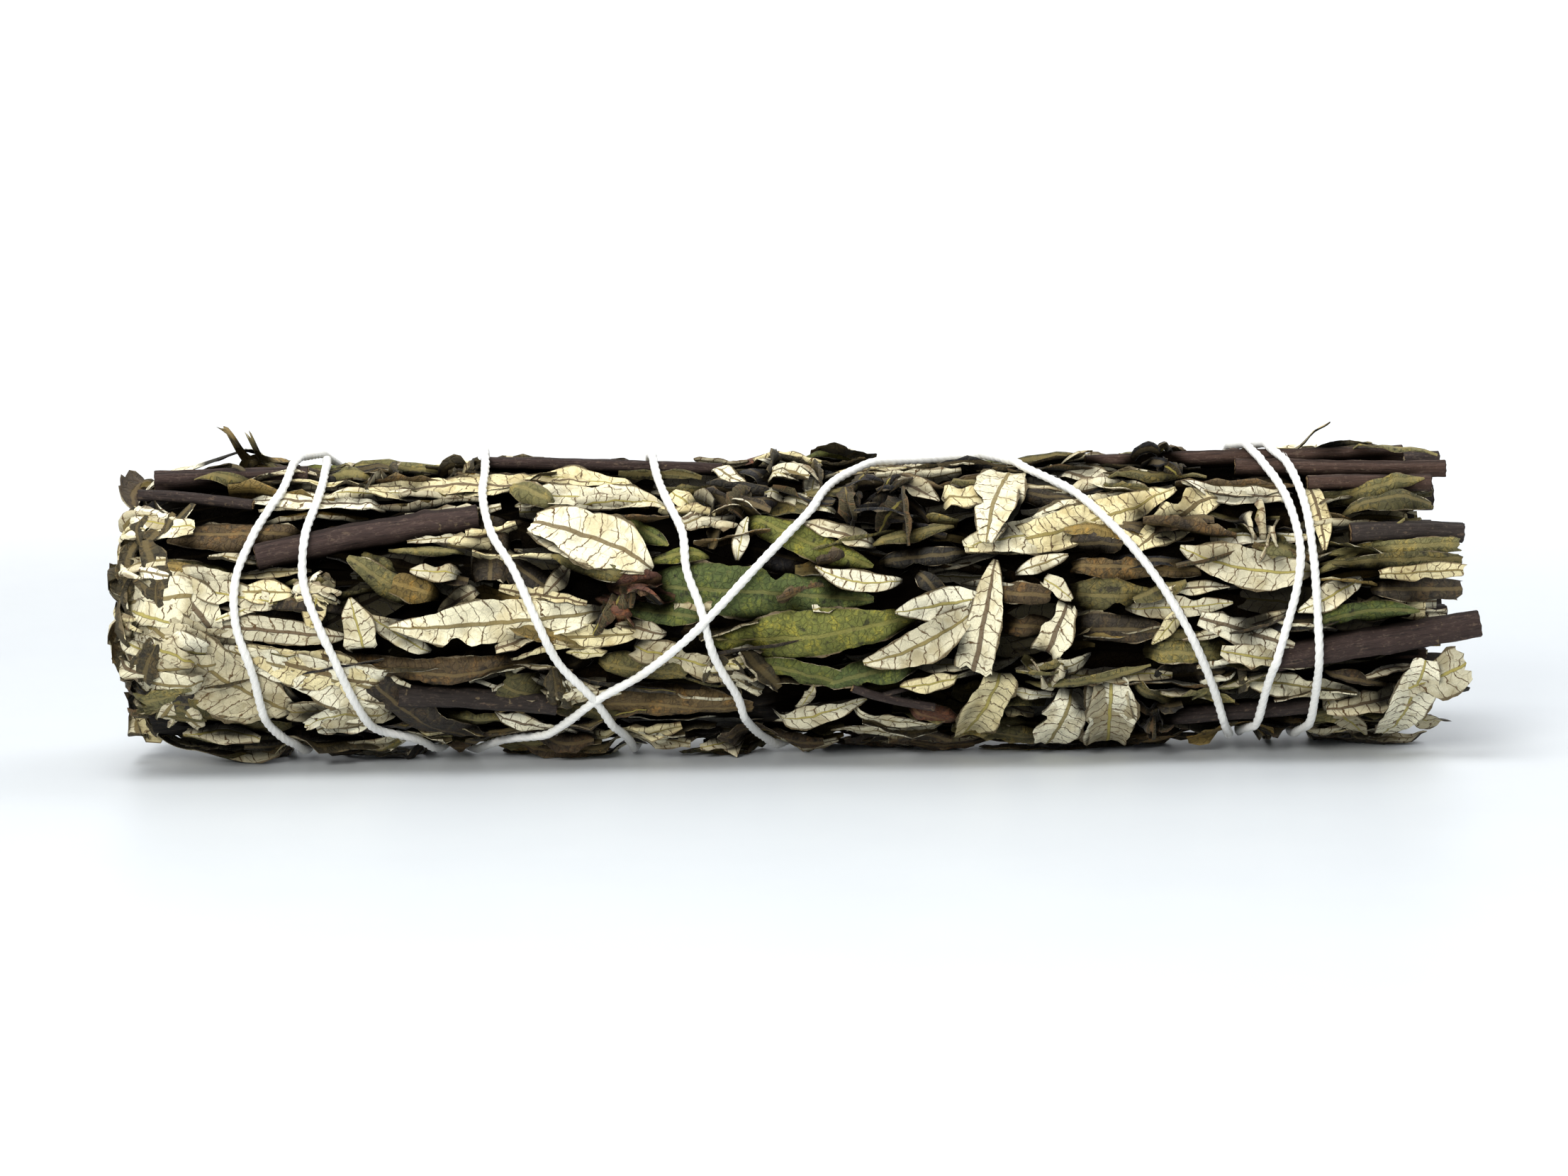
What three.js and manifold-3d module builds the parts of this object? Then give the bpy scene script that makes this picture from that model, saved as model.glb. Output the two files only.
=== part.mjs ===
// Yerba santa smudge stick: leafy cuttings pressed into a round bundle and wound with cotton string.
// Millimetres, +Z up. The bundle lies along X, its cut stems towards +X and its folded leaf tips towards -X.
// The origin is on the surface that it lies on, under the middle of the bundle's box.
import * as THREE from "three";
import { mergeVertices } from "three/addons/utils/BufferGeometryUtils.js";
import Module from "manifold-3d";

const wasm = await Module();
wasm.setup();

// Driving dimensions of the bundle
const FLOOR_BELOW_AXIS = 25.2;
const BED_RADIUS = 21.5;
const CORE_BELOW_BED = 2.4;
const CORE_CREASE = 1.1;
const BORE_RADIUS = 9.2;
const CORE_LEFT = -104;
const CORE_RIGHT = 100;
const SHOULDER_X = -98;
const SHOULDER_RADIUS = 7;
const LEAFY_STEMS = 8;
const WALL_INSET = 0.3;
const OUTSIDE_RADIUS = 24.7;
const UNDERSIDE_ROOM = 2.4;
const MOST_GIVE = 8;
const LEAST_GIVE = -0.5;
const PRESSINGS = 6;
const PEAK_WEIGHT = 1.7;
const MOST_ABOVE = 1;
const STRING_PRESSES = 1.7;
const MOST_ABOVE_PRESSED = 0;
const UNDERSIDE_GAP = 0.2;
const UNDERSIDE_CORE = 22.1;

// Driving dimensions of the leaves
const BLADE_THICKNESS = 1.2;
const LAY_GAP = 0.3;
const CLEARANCE = 0.3;
const ROOT_DEPTH = 5.4;
const ROOT_SIZE = 0.6;
const MODELLED_LEAF_AREA = 60;
const LEAST_SHOWING = 0.55;
const SHORT_LEAF = 21;
const LONG_LEAF = 36;
const LONG_STATIONS = [0, 0.15, 0.4, 0.65, 0.88, 1];
const MIDDLE_STATIONS = [0, 0.2, 0.5, 0.8, 1];
const SHORT_STATIONS = [0, 0.25, 0.7, 1];

// Driving dimensions of the string
const STRING_DIAMETER = 1.6;
const STRING_SIDES = 5;
const STRING_STEP = 6;
const STRING_SLOPE = 0.3;
const STRING_OFF_FLOOR = 0.45;

// How the bundle is seen from the front: the eye is EYE_TILT above the horizon, and heights in the lists
// below are read on a level line that the bundle's axis crosses, rising LEAN per millimetre
const EYE_TILT = THREE.MathUtils.degToRad(7);
const LEAN = 0.016;
const AXIS_HEIGHT = 1.4;
const SEEN_RADIUS = 23.9;
const STEEPEST = 0.985;

// Leaves of the front, lowest first: face, tail x and height, tip x and height, width, sideways bow, then
// optionally the shares missing from tail and tip, and how far the tip stands off the bundle
const FRONT_LEAVES = [
  ["brown", -78, 12.5, -99, 12.5, 6.5, 0, 0.1, 0.15],
  ["pale", -95, 13, -109, 14, 5.5, 0, 0.1, 0.3],
  ["olive", -89, 6.5, -112, 8.5, 4, 0.8],
  ["pale", -87.5, 3.3, -107, 3.5, 6.5, 0, 0.25, 0.1],
  ["pale", -95, 2, -116, 0, 11, 0, 0.1, 0.1],
  ["olive", -91, -8, -114, -6, 8, 0, 0.1, 0.1],
  ["pale", -79, 2.5, -88.5, 2.8, 4, 0],
  ["pale", -71, -5, -96, -2.6, 4.6, 0],
  ["olive", -78, 1.5, -87, -0.5, 2.2, 0],
  ["pale", -74.3, 5.5, -76.5, -3.2, 4.8, 0, 0.2, 0.1],
  ["olive", -90, -9.5, -113, -11.5, 6, 0, 0.1, 0.1],
  ["pale", -94, -12.5, -112, -13.5, 6, 0, 0.1, 0.1],
  ["dark", -95, -15.5, -109, -17, 6, 0, 0.1, 0.35],
  ["olive", -81, -22.3, -103, -14.5, 7, 0, 0.05, 0.2],
  ["pale", -79.5, -18.5, -103, -1.5, 15, 1, 0.02, 0.12],
  ["pale", -64.5, -18.5, -81, -17.8, 7, 0, 0.3, 0.2],
  ["olive", -82, 20.8, -96, 20.8, 2.2, 0],
  ["dark", -69, 22.5, -90, 21.8, 3.2, 0],
  ["pale", -64.8, 16.9, -89.3, 17.6, 4.5, -0.9],
  ["dark", -74, 23.5, -84.5, 24.5, 4.6, 0, 0.2, 0.2, 1],
  ["olive", -79, 22.5, -92.3, 28.6, 2.4, 0, 0.05, 0.02, 5],
  ["pale", -79.5, 23, -88, 27.3, 2, 0, 0.05, 0.02, 3.2],
  ["dark", -50.5, -23, -66.5, -13, 8.5, 0, 0.05, 0.2],
  ["pale", -61, -22, -50, -20.8, 2, 0],
  ["pale", -57.5, -7.5, -67.5, -1, 3.8, 0],
  ["brown", -39, -8.6, -75.5, -8.4, 5.2, 2.6, 0.1, 0.1],
  ["pale", -63.5, -14.5, -90.5, -6.8, 8.8, 0.6, 0.3, 0.03],
  ["pale", -68, -7, -69.9, 1.6, 5.8, 0, 0.25, 0.02],
  ["olive", -61.5, 3.8, -68, 9, 3.6, 0, 0.1, 0.1],
  ["gold", -60.5, 1.4, -70.3, 8, 4.2, 0, 0.2, 0.05],
  ["gold", -56, 2, -63, 3.8, 4.4, 0, 0.1, 0.25],
  ["pale", -52.5, 5.3, -60.3, 5.6, 3.2, 0, 0.1, 0.05],
  ["pale", -50, 3, -56, -0.8, 3.4, 0, 0.15, 0.05],
  ["pale", -50.3, 12, -61, 10.7, 2, 0],
  ["olive", -52, 9.3, -64, 9.6, 1.8, 0],
  ["dark", -45.5, 8.5, -38.5, 3, 6.4, 0, 0.1, 0.1],
  ["dark", -47.8, 16.5, -47.8, 4.6, 6.2, 0, 0.3, 0.35],
  ["dark", -45.5, 14.5, -36.5, 10, 6.4, 0, 0.1, 0.1],
  ["pale", -30, 7.2, -44, 9.7, 3, 0],
  ["pale", -24.5, 20.3, -43, 21.5, 5.4, -0.8],
  ["pale", -32.5, 20.8, -68, 19.7, 7.8, -1.6],
  ["pale", -19.4, 17.6, -44, 16.8, 5.8, -1.4],
  ["olive", -38, 16.5, -44.5, 19, 3.6, 0, 0.1, 0.2],
  ["olive", -25, 4.8, -38, 8, 3, 0.3],
  ["pale", -35, 6.6, -39.3, 1.9, 3, 0],
  ["pale", -24, -4.4, -41.5, -5.2, 4.2, 0],
  ["pale", -29.5, -7.6, -36, -7.6, 2.4, 0],
  ["pale", -30, -0.6, -63.8, -3, 7.4, 0.7],
  ["olive", -46.5, -13, -28.5, -19.3, 7.8, 0, 0.25, 0.1],
  ["pale", -40.5, -12.3, -31, -15, 3, 0, 0.1, 0.2],
  ["pale", -48, -18.5, -35, -21.5, 3.4, 0],
  ["pale", -22, 6.2, -41, 13.2, 10.4, -1.2, 0.02, 0.12],
  ["green", -26, 14.5, -19.5, 10.3, 3.8, 0, 0.1, 0.02],
  ["pale", -20, -4.8, -28, -2.6, 3.2, 0],
  ["green", -14, -1.8, -28, 0.2, 4.4, 0],
  ["green", -13, 8.8, -23, 7.2, 2.8, -0.8],
  ["olive", -31, -9.8, -17, -12, 6.2, 0, 0.05, 0.1],
  ["brown", -33, -16.5, -6.5, -18.2, 7.8, 0, 0.15, 0.1],
  ["pale", -25.3, -7, -7, -13.2, 4.8, 0.8, 0.2, 0.1],
  ["pale", -9.5, -6.8, -5.5, -13, 3.6, 0, 0.2, 0.1],
  ["green", -6, -9.5, 11, -11.8, 4.4, 0],
  ["green", -26, 3.8, 13, 1.3, 9.6, 0, 0.05, 0.02],
  ["green", -14, -6, 21, -0.8, 8.2, -1],
  ["green", 4, -12, 27, -6.5, 4.6, 0],
  ["pale", -19.5, 19.5, -14.3, 15.8, 3.4, 0],
  ["olive", -19, 20.8, -10, 19.5, 2.6, 0],
  ["pale", -15.8, 13.3, -8.5, 17.8, 4.8, 0],
  ["pale", -8.6, 8, -6.8, 14.6, 2.8, 0],
  ["pale", -12.5, 22.3, -7, 19.3, 3, 0],
  ["black", -7, 23.5, -3, 20.5, 4, 0, 0.3, 0.3],
  ["black", -7, 17.5, -2, 17.5, 3, 0, 0.3, 0.3],
  ["pale", -3.5, 20.3, 1.5, 20.6, 2.4, 0],
  ["green", -7.5, 15.3, 13, 6.6, 5.6, -0.4],
  ["pale", -4, 18.6, 7.2, 15.6, 3.2, 0.4, 0.15, 0.05],
  ["pale", 4.2, 22, 3, 17.9, 2.8, 0, 0.2, 0.1],
  ["pale", -6, 26.5, 4.5, 22.2, 3.8, 0.6],
  ["pale", 17.6, 4.4, 3.8, 6.4, 3.4, 1.4],
  ["dark", 14, 7.5, 28.5, 9, 3.6, 0],
  ["pale", 13.6, 10.2, 2, 14, 4, 0.3],
  ["olive", 13, 10, 26, 13.3, 2.5, -0.2],
  ["black", 6, 16, 19.5, 13, 3.2, 0],
  ["black", 7, 15.8, 14, 21.5, 3, 0],
  ["black", 12.5, 21.5, 22, 13.8, 3.4, 0.5],
  ["pale", 7.5, 19.3, 11.5, 18.8, 2.8, 0, 0.2, 0.2],
  ["pale", 15.3, 20.5, 23.8, 17.2, 5.2, 0.3],
  ["brown", 14.5, 24, 25, 20.2, 2.6, 0.4],
  ["pale", 12, 23.6, 19, 24.6, 2, 0],
  ["pale", 24.6, 17.2, 30.5, 18, 4.8, 0, 0.3, 0.3],
  ["olive", 25.5, 21, 31.5, 20.7, 2, 0],
  ["pale", 25, 24.8, 30, 24.4, 2.4, 0],
  ["pale", 38, 2, 26.8, 3.8, 3, 0],
  ["pale", 30.5, 1.6, 16.3, -0.6, 5, 0],
  ["dark", 20, 5.6, 24, 1.4, 3.2, 0, 0.1, 0.3],
  ["pale", 29.3, 0.2, 11.2, -8.3, 5.8, 1.4],
  ["pale", 36, -8.5, 25, -11.6, 1.8, 0],
  ["pale", 26.3, -11, 17, -12, 2.8, 0],
  ["red", 19, -16.5, 28, -19, 5.4, 0, 0.1, 0.1],
  ["pale", 3.4, -12.5, 0.5, -16.8, 2.8, 0],
  ["pale", 9, -16.9, 22.5, -18.8, 3.8, -0.6],
  ["pale", 25, -20.3, 6, -20.9, 3.6, 0.8],
  ["pale", -3.2, -18.8, 11.8, -14.9, 5, 0],
  ["pale", 43, 23.2, 57, 19.3, 5.2, 0.2, 0.1, 0.05],
  ["olive", 51, 22, 67, 21.8, 2.8, 0],
  ["dark", 36, 19.5, 46, 18.5, 4.4, 0],
  ["pale", 41.5, 24.2, 49, 24, 2, 0],
  ["pale", 35.5, 5.6, 44, 8.6, 2.8, 0],
  ["pale", 51, 12.5, 55.5, 10, 3.2, 0, 0.2, 0.2],
  ["olive", 53, 12.5, 61, 15.2, 2.2, 0],
  ["red", 44.5, 7, 65, 6.1, 4, 0.2, 0.15, 0.1],
  ["brown", 32.5, 2.4, 41, 2, 3.6, 0, 0.1, 0.2],
  ["olive", 44.3, 2.2, 58.5, 1.6, 6, 0, 0.2, 0.1],
  ["dark", 43.5, -3.5, 58.5, -4, 5.4, 0, 0.1, 0.1],
  ["red", 31.3, -2.6, 42, -3.4, 4, 0, 0.1, 0.2],
  ["pale", 61.5, 20.2, 27.4, 9.2, 7.8, 1.1, 0.03, 0.06],
  ["pale", 36, 24, 31.2, 10, 8.2, -0.3, 0.12, 0.08],
  ["pale", 68.8, 18.6, 54.5, 9.4, 6.4, -0.5],
  ["pale", 40, 4.7, 44.3, 1.3, 3.2, 0, 0.2, 0.05],
  ["pale", 58, 2.2, 69.5, 3.4, 2.4, 0.4],
  ["pale", 53, -0.3, 70, 0.7, 4, -0.2],
  ["pale", 43.5, 0.6, 40.2, -7, 5.4, 0, 0.15, 0.35],
  ["pale", 62.6, 0.2, 57.2, -6.4, 3, 0],
  ["pale", 32.4, 7.6, 28.6, -9.4, 6, 0, 0.02, 0.42],
  ["pale", 47.5, -8, 35.3, -9.6, 3.6, 0.5],
  ["olive", 37, -12, 57, -9.5, 2, -0.3],
  ["pale", 42.3, -14.8, 33.5, -13, 2.4, 0.3],
  ["dark", 56.5, -12, 69, -11, 4.8, 0],
  ["olive", 54.5, -12.3, 61.5, -15.8, 3.4, 0, 0.1, 0.05],
  ["pale", 33, -10.6, 26, -24.4, 7.4, 0.3, 0.2, 0.04],
  ["pale", 44.6, -13.8, 41, -24, 8.2, 0, 0.12, 0.12],
  ["pale", 50.6, -11.6, 51, -24, 8.2, 0, 0.25, 0.3],
  ["brown", 55, -21.5, 71, -20.8, 2.4, 0],
  ["gold", 56, -8, 83.8, -8.3, 5, 0.5, 0.1, 0.2],
  ["pale", 79, -0.8, 62, -5.6, 2.8, 0.4],
  ["olive", 74, 14.4, 80, 11.8, 3, 0],
  ["olive", 80.5, 9.3, 69.5, 13, 3.8, 0],
  ["pale", 83, 6.2, 61.8, 9.9, 7, 1.8],
  ["pale", 80.7, 20.2, 62.5, 19.4, 3.8, 0.3],
  ["olive", 82, 18.2, 101.5, 20.3, 3.2, -0.5],
  ["olive", 88, 15.6, 102.5, 17.4, 3.6, 0.5, 0.02, 0.15],
  ["dark", 92, 3, 106, 3, 4.2, 0, 0.1, 0.3],
  ["olive", 85, 9.2, 106, 9.8, 2.6, 0, 0.02, 0.25],
  ["olive", 84, 7.4, 106, 7.5, 2.4, 0, 0.02, 0.25],
  ["pale", 93, 5.2, 106.3, 5.8, 2.6, 0, 0.1, 0.25],
  ["olive", 83, 5.6, 97.5, 13.8, 2, -0.3],
  ["pale", 82.7, 21, 84.8, 9.6, 3.5, 0.5, 0.1, 0.05],
  ["pale", 90.5, 4.9, 80.2, -0.8, 4.2, 0.3],
  ["green", 81.5, -3.6, 99.5, -0.6, 4, 1.2],
  ["brown", 70, -16.5, 84, -20.5, 2.6, 0],
  ["olive", 81, -21.5, 98, -22.3, 3.4, 0],
  ["brown", 85, -11.5, 95, -13, 2.6, 0.6],
  ["pale", 85.2, -15.2, 93.3, -21.9, 4.8, 0],
  ["pale", 71.3, -12.5, 91.4, -15, 4.5, 0.8],
  ["dark", 98, -14.4, 107.6, -12.5, 5.4, 0, 0.1, 0.3],
  ["pale", 96.5, -16.6, 105.4, -19.6, 4.6, 0, 0.1, 0.25],
  ["pale", 97, -13, 107, -8.8, 6.6, 0, 0.1, 0.3],
  ["pale", 100.4, -7.8, 95, -22.2, 7.4, 0.5, 0.12, 0.05],
  ["olive", 76, 27.3, 95, 27.2, 2.6, 0],
  ["olive", 91, 25.8, 104.5, 24.2, 1.9, 0],
  ["pale", 80, 26.4, 88, 29.3, 2.4, 0, 0.05, 0.2, 2.5],
];

// Woody stems that show on the front: start x and height, end x and height, diameter, radius of their
// outer side
const FRONT_STEMS = [
  [-85, 8.3, -50, 15.5, 4.6, 24.6],
  [-102.5, 21.3, -78, 22.5, 3.8, 24.4],
  [-104.5, 18.3, -86, 17, 1.9, 24.3],
  [-63, -15.5, -38, -16.5, 4.6, 24],
  [-50, 25.6, -11, 23.1, 2.2, 24.3],
  [9.5, -12.2, 22.5, -15.4, 1.4, 25.4],
  [48, 24.3, 99.5, 26.2, 2.9, 24.2],
  [72, 23.6, 105.5, 23.5, 3.1, 24.2],
  [83, 20.2, 102.6, 20.9, 2.9, 24.6],
  [89, 12.4, 106.8, 12, 3.5, 24.8],
  [77, -9, 109, -2.3, 4.7, 25],
  [56, -18.5, 84, -16.8, 3.3, 24.2],
];

// Woody stems that show on the back and underside: start x, end x, angle around in degrees, drift of that
// angle over the stem, diameter, radius of their outer side
const BACK_STEMS = [
  [58, 107.5, 112, 6, 3.6, 24.3],
  [-101, -62, 128, -9, 3.8, 24.3],
  [30, 104.5, 149, -5, 4.4, 24.5],
  [72, 108, 176, 7, 3.2, 24.3],
  [-52, -6, 171, 10, 3.4, 25.1],
  [45, 106, 207, -6, 4.8, 24.5],
  [-98, -58, 214, 5, 3, 24.6],
  [66, 103.5, 238, 5, 3.4, 24.2],
];

// Route of the string, front passes in the order it was wound, bottom to top: x and height of each point
const STRING_PASSES = [
  [[81.6, -22.6], [82.9, -18], [83.4, -10], [83.2, 0], [82.8, 9], [82.2, 16], [80.6, 21.5], [77.6, 25.2]],
  [[73, -21.8], [74.6, -17], [76, -10], [78, -4], [80, 3], [80.8, 9], [80, 15.5], [78, 20.3], [74.6, 24.6]],
  [[70.9, -21.4], [68, -15], [64, -6], [59, 3], [54, 10], [48, 16.5], [42, 21], [36, 24.3]],
  [[-5, -23.3], [-7.5, -19.5], [-9, -15], [-12.5, -8], [-14.5, 0], [-16.6, 6], [-17.2, 12], [-20, 18],
    [-22, 23]],
  [[-26.8, -22.8], [-29.5, -19], [-32, -15], [-37, -9.5], [-40.3, -2.5], [-44, 6], [-47.6, 12], [-49.2, 18],
    [-49.3, 23.4]],
  [[-60, -23.6], [-67, -20.5], [-70, -15.5], [-72.5, -9], [-75, -3], [-77.3, 4], [-77, 11], [-75.5, 18],
    [-75.2, 23.2]],
  [[-80.5, -23.8], [-84.5, -19], [-86, -10.5], [-88.2, -2.5], [-88, 5], [-85, 12.5], [-81.5, 18.5],
    [-79, 23.4]],
  [[-48, -23.8], [-40, -21], [-32, -15.6], [-24, -11], [-14.8, -3.2], [-5, 7], [3, 15], [9, 22]],
];

// Where along the bundle the string runs at the middle of the back after a pass, if it doesn't run straight
const STRING_BACKS = [77.2, 71.4, null, null, null, -79.8, null, null];
const KNOT_X = 85.5;
const KNOT_AROUND = THREE.MathUtils.degToRad(196);
const KNOT_RADIUS = 1.15;
const KNOT_ENDS_APART = 2.1;
const KNOT_TAILS = [[7, 3.5], [5, -6]];

// Leaves of the top, back and underside, laid by rule in rows round the bundle
const RULE_SEED = 20261;
const RULE_FROM = THREE.MathUtils.degToRad(92);
const RULE_TO = THREE.MathUtils.degToRad(276);
const RULE_ROWS = 8;
const RULE_COLUMNS = 7;
const RULE_LEFT = -84;
const RULE_RIGHT = 90;
const RULE_FURTHEST = 105;
const RULE_FACES = [
  "pale", "olive", "pale", "brown", "pale", "dark", "pale", "green", "gold", "pale", "red",
];
const END_LEAVES = 9;

// Short leaves of the underside between the turns of the string, which the bundle rests on: middle x, angle
// around in degrees, length, width, turn in degrees, face
const UNDER_LEAVES = [
  [-95, 271, 20, 8, 12, "olive"],
  [-89, 260, 21, 8, -16, "pale"],
  [-66, 269, 19, 7.5, 28, "dark"],
  [-62, 256, 15, 7.5, -24, "pale"],
  [-36, 266, 24, 8.5, 10, "pale"],
  [-8, 270, 22, 7.5, -14, "olive"],
  [17, 262, 25, 8.5, 9, "brown"],
  [44, 270, 27, 7.5, -8, "pale"],
  [52, 258, 24, 8, 14, "olive"],
  [93, 270, 22, 7.5, 11, "dark"],
  [88, 259, 21, 8, -9, "pale"],
];
const UNDER_MIDDLE = FLOOR_BELOW_AXIS - 0.4;

const COLOURS = { bark: 0x4a3229, string: 0xf2efe6, core: 0x3b3222 };
const ROUGHNESS = 0.85;

// A repeatable random number from 0 to 1
let randomState = RULE_SEED;
function random() {
  randomState = (Math.imul(randomState, 1664525) + 1013904223) >>> 0;
  return randomState / 4294967296;
}
const between = (low, high) => low + (high - low) * random();

// Angle around the bundle of what is seen at a height on the front
function aroundOf(x, height) {
  const rise = (height - AXIS_HEIGHT - LEAN * x) / SEEN_RADIUS;
  return EYE_TILT + Math.asin(Math.max(-STEEPEST, Math.min(STEEPEST, rise)));
}

// A grid along and around the bundle, for how far its bed gives way and how high it is built up
const GRID_LEFT = -126;
const GRID_RIGHT = 114;
const GRID_LENGTH = GRID_RIGHT - GRID_LEFT + 1;
const GRID_AROUND = 144;
const GRID_STEP = (2 * Math.PI) / GRID_AROUND;
const pile = new Float64Array(GRID_LENGTH * GRID_AROUND);
const give = new Float64Array(GRID_LENGTH * GRID_AROUND);
const stringCells = new Uint8Array(GRID_LENGTH * GRID_AROUND);
function cell(along, around) {
  const i = Math.max(0, Math.min(GRID_LENGTH - 1, Math.round(along) - GRID_LEFT));
  const j = ((Math.round(around / GRID_STEP) % GRID_AROUND) + GRID_AROUND) % GRID_AROUND;
  return i * GRID_AROUND + j;
}

// The bundle's section isn't quite round: lumps run along it
function lumps(along, around) {
  const wide = 0.35 * Math.sin(2 * around + 0.6 + along / 60) + 0.3 * Math.sin(3 * around - along / 31);
  return wide + 0.25 * Math.sin(along / 14 + 2 * around);
}

// How far the bed that the leaves lie on is from the axis, lower where more lies on it
function bed(along, around) {
  return BED_RADIUS + lumps(along, around) - give[cell(along, around)];
}

// How far out the leaves should reach: nearly round, pressed in by the string, and on the underside far
// enough in for the string's turns to stay off the floor
function outside(along, around) {
  const pressed = stringCells[cell(along, around)];
  const goal = OUTSIDE_RADIUS + lumps(along, around) - (pressed ? STRING_PRESSES : 0);
  const down = -Math.sin(around);
  if (down < 0.6) return goal;
  return Math.min(goal, (FLOOR_BELOW_AXIS - (pressed ? UNDERSIDE_ROOM : UNDERSIDE_GAP)) / down);
}

// How far out they may reach at most
function limit(along, around) {
  const down = -Math.sin(around);
  const pressed = stringCells[cell(along, around)];
  const above = pressed ? MOST_ABOVE_PRESSED : MOST_ABOVE;
  return outside(along, around) + (down > 0.6 ? UNDERSIDE_GAP : above);
}

// The point at a place along and around the bundle, at a radius. Past the left shoulder, along turns over
// the end and runs inwards on the end face.
function point(along, around, radius) {
  let x = along;
  let r = radius;
  if (along < SHOULDER_X) {
    const over = SHOULDER_X - along;
    const above = radius - BED_RADIUS;
    const turn = Math.min(over / SHOULDER_RADIUS, Math.PI / 2);
    const inwards = Math.max(0, over - (SHOULDER_RADIUS * Math.PI) / 2);
    x = SHOULDER_X - (SHOULDER_RADIUS + above) * Math.sin(turn);
    r = BED_RADIUS - SHOULDER_RADIUS + (SHOULDER_RADIUS + above) * Math.cos(turn) - inwards;
  }
  return new THREE.Vector3(x, -r * Math.cos(around), r * Math.sin(around));
}

// A solid from rings of points, each ring closed, with a flat cap at both ends. Each side in turned is split
// along its other diagonal.
function loft(rings, turned = []) {
  const n = rings[0].length;
  const positions = rings.flat().flatMap((p) => [p.x, p.y, p.z]);
  const index = [];
  for (let k = 0; k + 1 < rings.length; k++) {
    for (let i = 0; i < n; i++) {
      const a = k * n + i;
      const b = k * n + ((i + 1) % n);
      if (turned.includes(i)) index.push(a, b, b + n, a, b + n, a + n);
      else index.push(a, b, a + n, b, b + n, a + n);
    }
  }
  const last = (rings.length - 1) * n;
  for (let i = 1; i + 1 < n; i++) {
    index.push(0, i + 1, i);
    index.push(last, last + i, last + i + 1);
  }
  const geometry = new THREE.BufferGeometry();
  geometry.setAttribute("position", new THREE.Float32BufferAttribute(positions, 3));
  geometry.setIndex(index);
  return geometry;
}

// A closed geometry as a solid, its faces turned outwards
function solidOf(geometry) {
  const bare = new THREE.BufferGeometry();
  bare.setAttribute("position", geometry.getAttribute("position"));
  if (geometry.index) bare.setIndex(geometry.index);
  const merged = mergeVertices(bare, 1e-4);
  const vertProperties = new Float32Array(merged.attributes.position.array);
  const solid = new wasm.Manifold(
    new wasm.Mesh({ numProp: 3, vertProperties, triVerts: new Uint32Array(merged.index.array) }),
  );
  return solid.volume() < 0 ? solidOf(flipped(merged)) : solid;
}

function flipped(geometry) {
  const index = geometry.index.array;
  for (let i = 0; i < index.length; i += 3) [index[i + 1], index[i + 2]] = [index[i + 2], index[i + 1]];
  return geometry;
}

// A solid as a geometry with flat faces
function geometryOf(solid) {
  const mesh = solid.getMesh();
  const positions = new Float32Array(mesh.numVert * 3);
  for (let i = 0; i < mesh.numVert; i++) {
    positions.set(mesh.vertProperties.subarray(i * mesh.numProp, i * mesh.numProp + 3), i * 3);
  }
  const geometry = new THREE.BufferGeometry();
  geometry.setAttribute("position", new THREE.BufferAttribute(positions, 3));
  geometry.setIndex(new THREE.BufferAttribute(new Uint32Array(mesh.triVerts), 1));
  const faceted = geometry.toNonIndexed();
  faceted.computeVertexNormals();
  return faceted;
}

const largest = (solid) => solid.decompose().sort((a, b) => b.volume() - a.volume())[0];

// The wall between two leafy stems wanders along the bundle
function wallAngle(number, along) {
  const turn = (2 * Math.PI) / LEAFY_STEMS;
  return turn * number + 0.39 + 0.1 * Math.sin(along / 21 + 1.9 * number);
}

// Which leafy stem a place belongs to, and how far it is from that stem's nearer wall
function ownerOf(along, around) {
  const full = 2 * Math.PI;
  for (let number = 0; number < LEAFY_STEMS; number++) {
    const low = wallAngle(number, along);
    const high = number + 1 < LEAFY_STEMS ? wallAngle(number + 1, along) : wallAngle(0, along) + full;
    const a = low + ((((around - low) % full) + full) % full);
    if (a < high) return { number, fromLow: (a - low) * BED_RADIUS, fromHigh: (high - a) * BED_RADIUS };
  }
  return { number: 0, fromLow: 0, fromHigh: 0 };
}

// Width of a leaf at a share of its whole length, from tail to tip
function outline(share) {
  return Math.pow(Math.max(0, Math.sin(Math.PI * Math.pow(share, 0.9))), 0.8);
}

// A leaf from its tail to its tip. Short leaves need fewer stations along them.
function makeLeaf(face, along1, around1, along2, around2, width, bow, tailCut, tipCut, lift) {
  const alongSpan = along2 - along1;
  const aroundSpan = (around2 - around1) * SEEN_RADIUS;
  const length = Math.hypot(alongSpan, aroundSpan);
  const seed = random();
  const lean = between(-0.12, 0.12);
  const palm = between(0.08, 0.26);
  const cup = face === "pale" ? palm : -0.8 * palm;
  const longStations = length < LONG_LEAF ? MIDDLE_STATIONS : LONG_STATIONS;
  const stations = length < SHORT_LEAF ? SHORT_STATIONS : longStations;
  const forward = [alongSpan / length, aroundSpan / length];
  return {
    along1, around1, forward, length, width, bow, tailCut, tipCut, lift, seed, lean, cup, stations,
  };
}

// Place along and around, for a share s of the leaf's length and t from its left edge (-1) to its right (1)
function leafPlace(leaf, s, t, grow = 0) {
  const [ex, ea] = leaf.forward;
  const side = leaf.bow * 4 * s * (1 - s) + t * (halfWidth(leaf, s, t) + grow);
  const run = leaf.length * s + (s === 0 ? -grow : s === 1 ? grow : 0);
  const along = leaf.along1 + ex * run - ea * side;
  const around = leaf.around1 + (ea * run + ex * side) / SEEN_RADIUS;
  return [along, around];
}

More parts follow.
